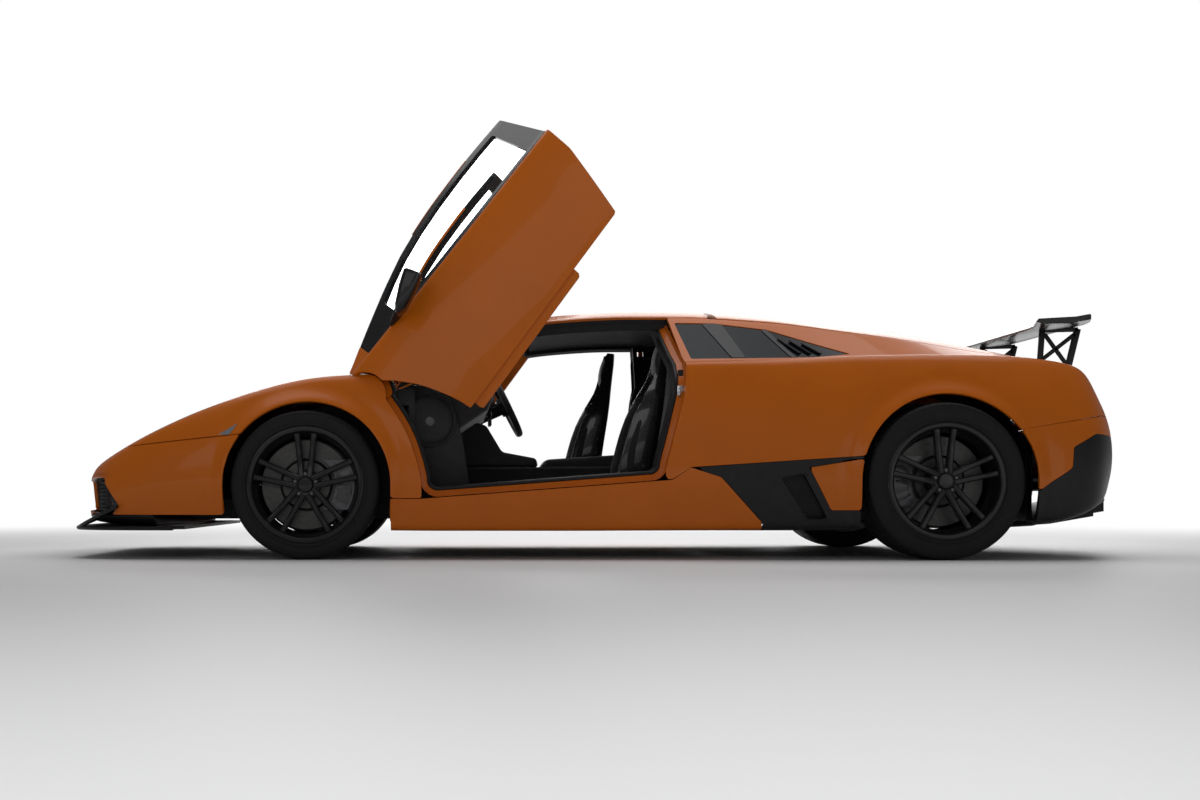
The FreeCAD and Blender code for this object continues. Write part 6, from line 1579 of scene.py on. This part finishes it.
# Wipers and the slots under the windscreen
wipers = []
for pivot_y, reach, tilt in ((-0.30, 0.44, 0.10), (0.22, 0.42, 0.06)):
    base = top_point(front(236), pivot_y, -0.006)
    path = []
    for t in np.linspace(0, 1, 12):
        x = front(236) + 0.030 + tilt * t + 0.02 * math.sin(t * 3)
        path.append(tuple(top_point(x, pivot_y + reach * t, -0.014)))
    pivot = lathe([(-0.008, 0.0), (-0.008, 0.014), (0.008, 0.013), (0.012, 0.008), (0.012, 0.0)], 18)
    wipers += [swept([tuple(base), path[0]], round_ring(0.008, 8)),
               swept(path, [(0.004, -0.006), (0.004, 0.006), (-0.004, 0.006), (-0.004, -0.006)]),
               moved(pivot, Matrix.Translation(base) @ turned(90, "X"))]
body_piece("wipers", wipers, BLACK, "roof_frame")
slots = []
for x in (164, 182, 200):
    rows = []
    for y in np.linspace(-0.50, 0.50, 21):
        p, q = top_point(front(x), float(y), -0.0012), top_point(front(x + 9), float(y), -0.0012)
        rows.append([tuple(p), tuple(q), (q.x, q.y, q.z - 0.01), (p.x, p.y, p.z - 0.01)])
    slots.append(ribbon(rows, True))
body_piece("scuttle_slots", slots, GRILLE, "roof_frame")

# Splash guards behind the rear wheels, and a backing behind each sill's rear seam
guard = prism([(0.45, 0.150), (0.885, 0.165), (0.900, 0.300), (0.890, 0.520), (0.45, 0.520)], rear(366),
              rear(370),
              "x")
both_sides("splash_guard", [guard], BLACK, angle=30)
seam = prism([(front(1600), 0.355), (front(1735), 0.330), (front(1890), 0.152), (front(1935), 0.152),
              (front(1790), 0.350), (front(1640), 0.375)], 0.872, 0.880, "y")
both_sides("sill_seam_backing", [seam], BLACK, angle=30)

# Tail: hexagon mesh, lamps, pipe, diffuser
TAIL_ROW, PIPE_Z = 40, 0.352
TAIL_YS = SURF[-CAP_ROWS - 60:-CAP_ROWS, TAIL_ROW, 1]
TAIL_XS = SURF[-CAP_ROWS - 60:-CAP_ROWS, TAIL_ROW, 0]
outward = np.argsort(TAIL_YS)
TAIL_YS, TAIL_XS = TAIL_YS[outward], TAIL_XS[outward]


def tail_place(u, v, w):
    return float(np.interp(abs(u), TAIL_YS, TAIL_XS)) - 0.040 + w, u, v


def tail_x(y, z):
    """How far back the body's tail reaches at a place seen from behind."""
    near = np.hypot(SURF[-160:, :, 1] - abs(y), SURF[-160:, :, 2] - z)
    pick = np.argsort(near, axis=None)[:4]
    return float(SURF[-160:, :, 0].flat[pick].mean()) if near.flat[pick[0]] < 0.03 else TAIL_X


mesh_edge = [(y * 1.015, 0.440 + (z - 0.440) * 1.04) for y, z in TAIL_GRILLE]
body_piece("tail_mesh_wires", hex_mesh(mesh_edge, tail_place, 0.0125, 0.0012, 0.003), GRILLE, "tail_mesh",
           angle=60)
cols = np.linspace(-0.66, 0.66, 40)
low_z = np.interp(np.abs(cols), [0.48, 0.56, 0.66], [0.292, 0.330, 0.54])
high_z = np.interp(np.abs(cols), [0.54, 0.66], [0.583, 0.545])
backing = [[tail_place(float(u), float(z), -0.05) for u, z in zip(cols, zs)] for zs in (low_z, high_z)]
body_piece("tail_mesh_backing", [ribbon(backing)], BLACK, "tail_mesh")
pipe_rings = []
for x, grow in ((rear(610), 0.0), (TAIL_X + 0.010, 0.0), (TAIL_X + 0.018, 0.002), (TAIL_X + 0.022, 0.000),
                (TAIL_X + 0.020, -0.005), (TAIL_X - 0.010, -0.007), (TAIL_X - 0.150, -0.008)):
    ring = []
    for c, s in round_ring(1.0, 48):
        y = math.copysign(0.078, c) if abs(c) > 1e-9 else 0.0
        ring.append((x, y + (0.055 + grow) * c, PIPE_Z + (0.055 + grow) * s))
    pipe_rings.append(ring)
body_piece("tail_pipe_oval", [lofted(pipe_rings, cap=False)], EXHAUST, "tail_pipe")
bore = lathe([(-0.16, 0.0), (-0.16, 0.034), (-0.02, 0.034), (-0.018, 0.038), (-0.17, 0.040)], 32)
bores = [moved(bore, shifted(TAIL_X - 0.005, y, PIPE_Z) @ TO_TAIL) for y in (-0.066, 0.066)]
body_piece("tail_pipe_bores", bores, EXHAUST, "tail_pipe")
back_plate = box_piece(TAIL_X - 0.175, TAIL_X - 0.165, -0.12, 0.12, 0.300, 0.404)
body_piece("tail_pipe_plate", [back_plate], BLACK, "tail_pipe")
lamps = []
for y, z, radius in ((0.395, 0.642, 0.019), (0.460, 0.640, 0.019), (0.525, 0.635, 0.019),
                     (0.585, 0.628, 0.016)):
    lamp = lathe([(0.0, 0.0), (0.002, radius * 0.6), (0.0, radius), (-0.006, radius + 0.002)], 24)
    lamps.append(moved(lamp, shifted(tail_x(y, z) - 0.007, y, z) @ TO_TAIL))
both_sides("tail_lamp_rings", lamps, SILVER, "tail_lamps")

DIFF_LINE = [(420, 0.131), (560, 0.139), (700, 0.176), (850, 0.224), (1000, 0.269)]
xs = np.linspace(rear(420), rear(1000), 30)
zs = np.interp(xs, [rear(x) for x, _ in DIFF_LINE], [z for _, z in DIFF_LINE])
PLAN_X = [rear(420), rear(830), rear(930), rear(1000)]
PLAN_Y = [0.438, 0.438, 0.328, 0.150]
rings = []
for x, z in zip(xs, zs):
    half = float(np.interp(x, PLAN_X, PLAN_Y))
    rings.append([(x, -half, z - 0.006), (x, half, z - 0.006), (x, half, z + 0.006), (x, -half, z + 0.006)])
fins = []
for y in (-0.425, -0.255, -0.085, 0.085, 0.255, 0.425):
    end = float(np.interp(abs(y), PLAN_Y[::-1], PLAN_X[::-1])) - 0.004
    line_x = np.linspace(rear(520), min(end, rear(996)), 14)
    top = [(float(x), float(np.interp(x, xs, zs)) - 0.004) for x in line_x]
    low = [(float(x), float(np.interp(x, [rear(520), rear(640), rear(1000)], [0.134, 0.142, 0.205])))
           for x in line_x]
    fins.append(prism(low + top[::-1], y - 0.005, y + 0.005, "y"))
body_piece("diffuser_floor", [lofted(rings)], BLACK, "diffuser", angle=30, bevel=0.002)
body_piece("diffuser_fins", fins, BLACK, "diffuser", angle=30, bevel=0.0015)

# Wing: one curved blade with small end plates on two trusses
WING_PROFILE = [(0.0, 0.004), (-0.02, 0.012), (-0.12, 0.008), (-0.30, 0.000), (-0.54, -0.006),
                (-0.75, -0.007),
                (-0.89, -0.008), (-0.97, -0.013), (-1.0, -0.018), (-0.985, -0.025), (-0.92, -0.028),
                (-0.80, -0.0295), (-0.66, -0.028), (-0.45, -0.0225), (-0.27, -0.016), (-0.12, -0.007),
                (-0.01, 0.000)]
WING_HALF, WING_Z, STRUT_Y = 0.72, 1.042, 0.4
rings = []
for y in np.linspace(-WING_HALF, WING_HALF, 61):
    lead = float(np.interp(abs(y), [0, 0.40, 0.50, WING_HALF], [0.812, 0.812, 0.796, 0.712]))
    chord = float(np.interp(abs(y), [0, 0.40, WING_HALF], [0.262, 0.262, 0.236]))
    rings.append([(rear(1000 * lead) + share * chord, float(y), WING_Z + z) for share, z in WING_PROFILE])
body_piece("wing_blade", [lofted(rings)], GLOSS, "rear_wing", angle=28)
edge = rear(712)
outline = [(edge - 0.238, 1.020), (edge - 0.228, 1.034), (edge - 0.05, 1.044), (edge - 0.002, 1.0535),
           (edge, 1.030), (edge - 0.10, 1.013), (edge - 0.20, 1.012)]
plates = [prism(outline, low, high, "y") for low, high in ((-0.7198, -0.7135), (0.7135, 0.7198))]
body_piece("wing_end_plates", plates, GLOSS, "rear_wing", angle=30, bevel=0.0015)
# Each bar of a truss: its two ends in side view and its width, in millimetres
STRUT_BARS = [((606, 850), (618, 1020), 26), ((726, 812), (778, 1024), 30), ((612, 880), (766, 1000), 18),
              ((728, 862), (628, 1000), 18), ((618, 1016), (780, 1020), 20)]
FOOT = [(rear(590), 0.868), (rear(590), 0.880), (rear(640), 0.878), (rear(748), 0.852), (rear(748), 0.838)]
bars = []
for y in (-STRUT_Y, STRUT_Y):
    for (xa, za), (xb, zb), width in STRUT_BARS:
        ax, az, bx, bz = rear(xa), za / 1000, rear(xb), zb / 1000
        run = math.hypot(bx - ax, bz - az)
        nx, nz = -(bz - az) / run * width / 2000, (bx - ax) / run * width / 2000
        if width > 24:
            ax, az = ax - (bx - ax) * 0.05, az - (bz - az) * 0.05
        outline = [(ax + nx, az + nz), (bx + nx, bz + nz), (bx - nx, bz - nz), (ax - nx, az - nz)]
        bars.append(prism(outline, y - 0.006, y + 0.006, "y"))
    bars.append(prism(FOOT, y - 0.020, y + 0.020, "y"))
body_piece("wing_truss_bars", bars, BLACK, "wing_struts", angle=30, bevel=0.0025)

# Louvres behind the quarter windows
louvres = []
for x_low, x_high, z_high in ((2120, 2042, 0.955), (2165, 2092, 0.945), (2210, 2142, 0.932)):
    ends = [surface_point(front(x_low), 0.884), surface_point(front(x_high), z_high)]
    a, b = (p + n * 0.001 for p, n in ends)
    louvres.append(swept([tuple(a), tuple(a.lerp(b, 0.5)), tuple(b)],
                         [(0.010, -0.002), (0.010, 0.002), (-0.010, 0.002), (-0.010, -0.002)]))
both_sides("quarter_louvres", louvres, BLACK, "quarter_windows")

# Finishes of the CAD nodes that stay as they are
KEPT = {"tub": BLACK, "luggage_box": BLACK, "wheel_arch_liners": BLACK, "front_knuckle_left": METAL,
        "front_knuckle_right": METAL, "front_suspension_arms": METAL, "rear_uprights_and_arms": METAL,
        "engine_block": ENGINE, "drive_shafts": METAL, "bucket_seats": SHELL, "dashboard": TRIM}
for node, mat in KEPT.items():
    obj = bpy.data.objects.get(node)
    if obj is not None and obj.type == "MESH":
        obj.data.materials.clear()
        obj.data.materials.append(mat)


# Camera, floor and light
def area_light(name, place, aim, wide, high, power):
    light = bpy.data.lights.new(name, "AREA")
    light.shape = "RECTANGLE"
    light.size, light.size_y = wide, high
    light.energy = power
    obj = collection_link(bpy.data.objects.new(name, light))
    obj.location = place
    obj.rotation_euler = (Vector(aim) - Vector(place)).to_track_quat("-Z", "Y").to_euler()


def floor_material():
    """A pale floor that runs out into white a few metres from the car."""
    mat = material("floor_pale", (0.74, 0.74, 0.745), 0.55, vary=0.015, scale=0.8)
    nodes, links = mat.node_tree.nodes, mat.node_tree.links
    where = nodes.new("ShaderNodeTexCoord")
    reach = nodes.new("ShaderNodeVectorMath")
    reach.operation = "LENGTH"
    links.new(where.outputs["Object"], reach.inputs[0])
    fade = nodes.new("ShaderNodeMapRange")
    fade.interpolation_type = "SMOOTHSTEP"
    fade.inputs["From Min"].default_value = 3.2
    fade.inputs["From Max"].default_value = 8.5
    links.new(reach.outputs["Value"], fade.inputs["Value"])
    glow = nodes.new("ShaderNodeEmission")
    glow.inputs["Color"].default_value = (1, 1, 1, 1)
    mixed = nodes.new("ShaderNodeMixShader")
    links.new(fade.outputs["Result"], mixed.inputs["Fac"])
    links.new(nodes["Principled BSDF"].outputs["BSDF"], mixed.inputs[1])
    links.new(glow.outputs["Emission"], mixed.inputs[2])
    links.new(mixed.outputs["Shader"], nodes["Material Output"].inputs["Surface"])
    return mat


FLOOR_HALF = 60
floor = mesh_object("floor", [(-FLOOR_HALF, -FLOOR_HALF, 0), (FLOOR_HALF, -FLOOR_HALF, 0),
                              (FLOOR_HALF, FLOOR_HALF, 0), (-FLOOR_HALF, FLOOR_HALF, 0)], [[0, 1, 2, 3]],
                    floor_material())
area_light("top_soft", (0.0, 0.5, 5.5), (0.0, 0.0, 0.5), 8.0, 5.0, 230)
area_light("back_soft", (1.0, 6.5, 3.4), (0.0, 0.0, 0.8), 9.0, 3.0, 300)
area_light("side_soft", (-3.0, -9.0, 3.2), (-0.2, 0.0, 0.5), 7.0, 2.6, 78)
area_light("low_fill", (4.5, -8.0, 1.2), (0.6, 0.0, 0.5), 4.0, 2.0, 24)
# The sky is white to the camera and a dim grey to the car
scene = bpy.context.scene
world = bpy.data.worlds.new("studio")
scene.world = world
world.use_nodes = True
w_nodes, w_links = world.node_tree.nodes, world.node_tree.links
back, white = w_nodes["Background"], w_nodes.new("ShaderNodeBackground")
for sky, colour, strength in ((back, (0.62, 0.63, 0.65, 1), 0.25), (white, (1, 1, 1, 1), 1.0)):
    sky.inputs["Color"].default_value = colour
    sky.inputs["Strength"].default_value = strength
mix = w_nodes.new("ShaderNodeMixShader")
path = w_nodes.new("ShaderNodeLightPath")
w_links.new(path.outputs["Is Camera Ray"], mix.inputs["Fac"])
w_links.new(back.outputs["Background"], mix.inputs[1])
w_links.new(white.outputs["Background"], mix.inputs[2])
w_links.new(mix.outputs["Shader"], w_nodes["World Output"].inputs["Surface"])

camera_data = bpy.data.cameras.new("camera")
camera_data.lens = 47.1
camera_data.sensor_width = 36
camera_data.shift_x = 0.12
camera_data.shift_y = 0.081
camera_data.clip_end = 200
camera = collection_link(bpy.data.objects.new("camera", camera_data))
camera.location = (-0.68, -7.5, 0.262)
camera.rotation_euler = (math.radians(90), 0, 0)
scene.camera = camera
scene.view_settings.view_transform = "Standard"
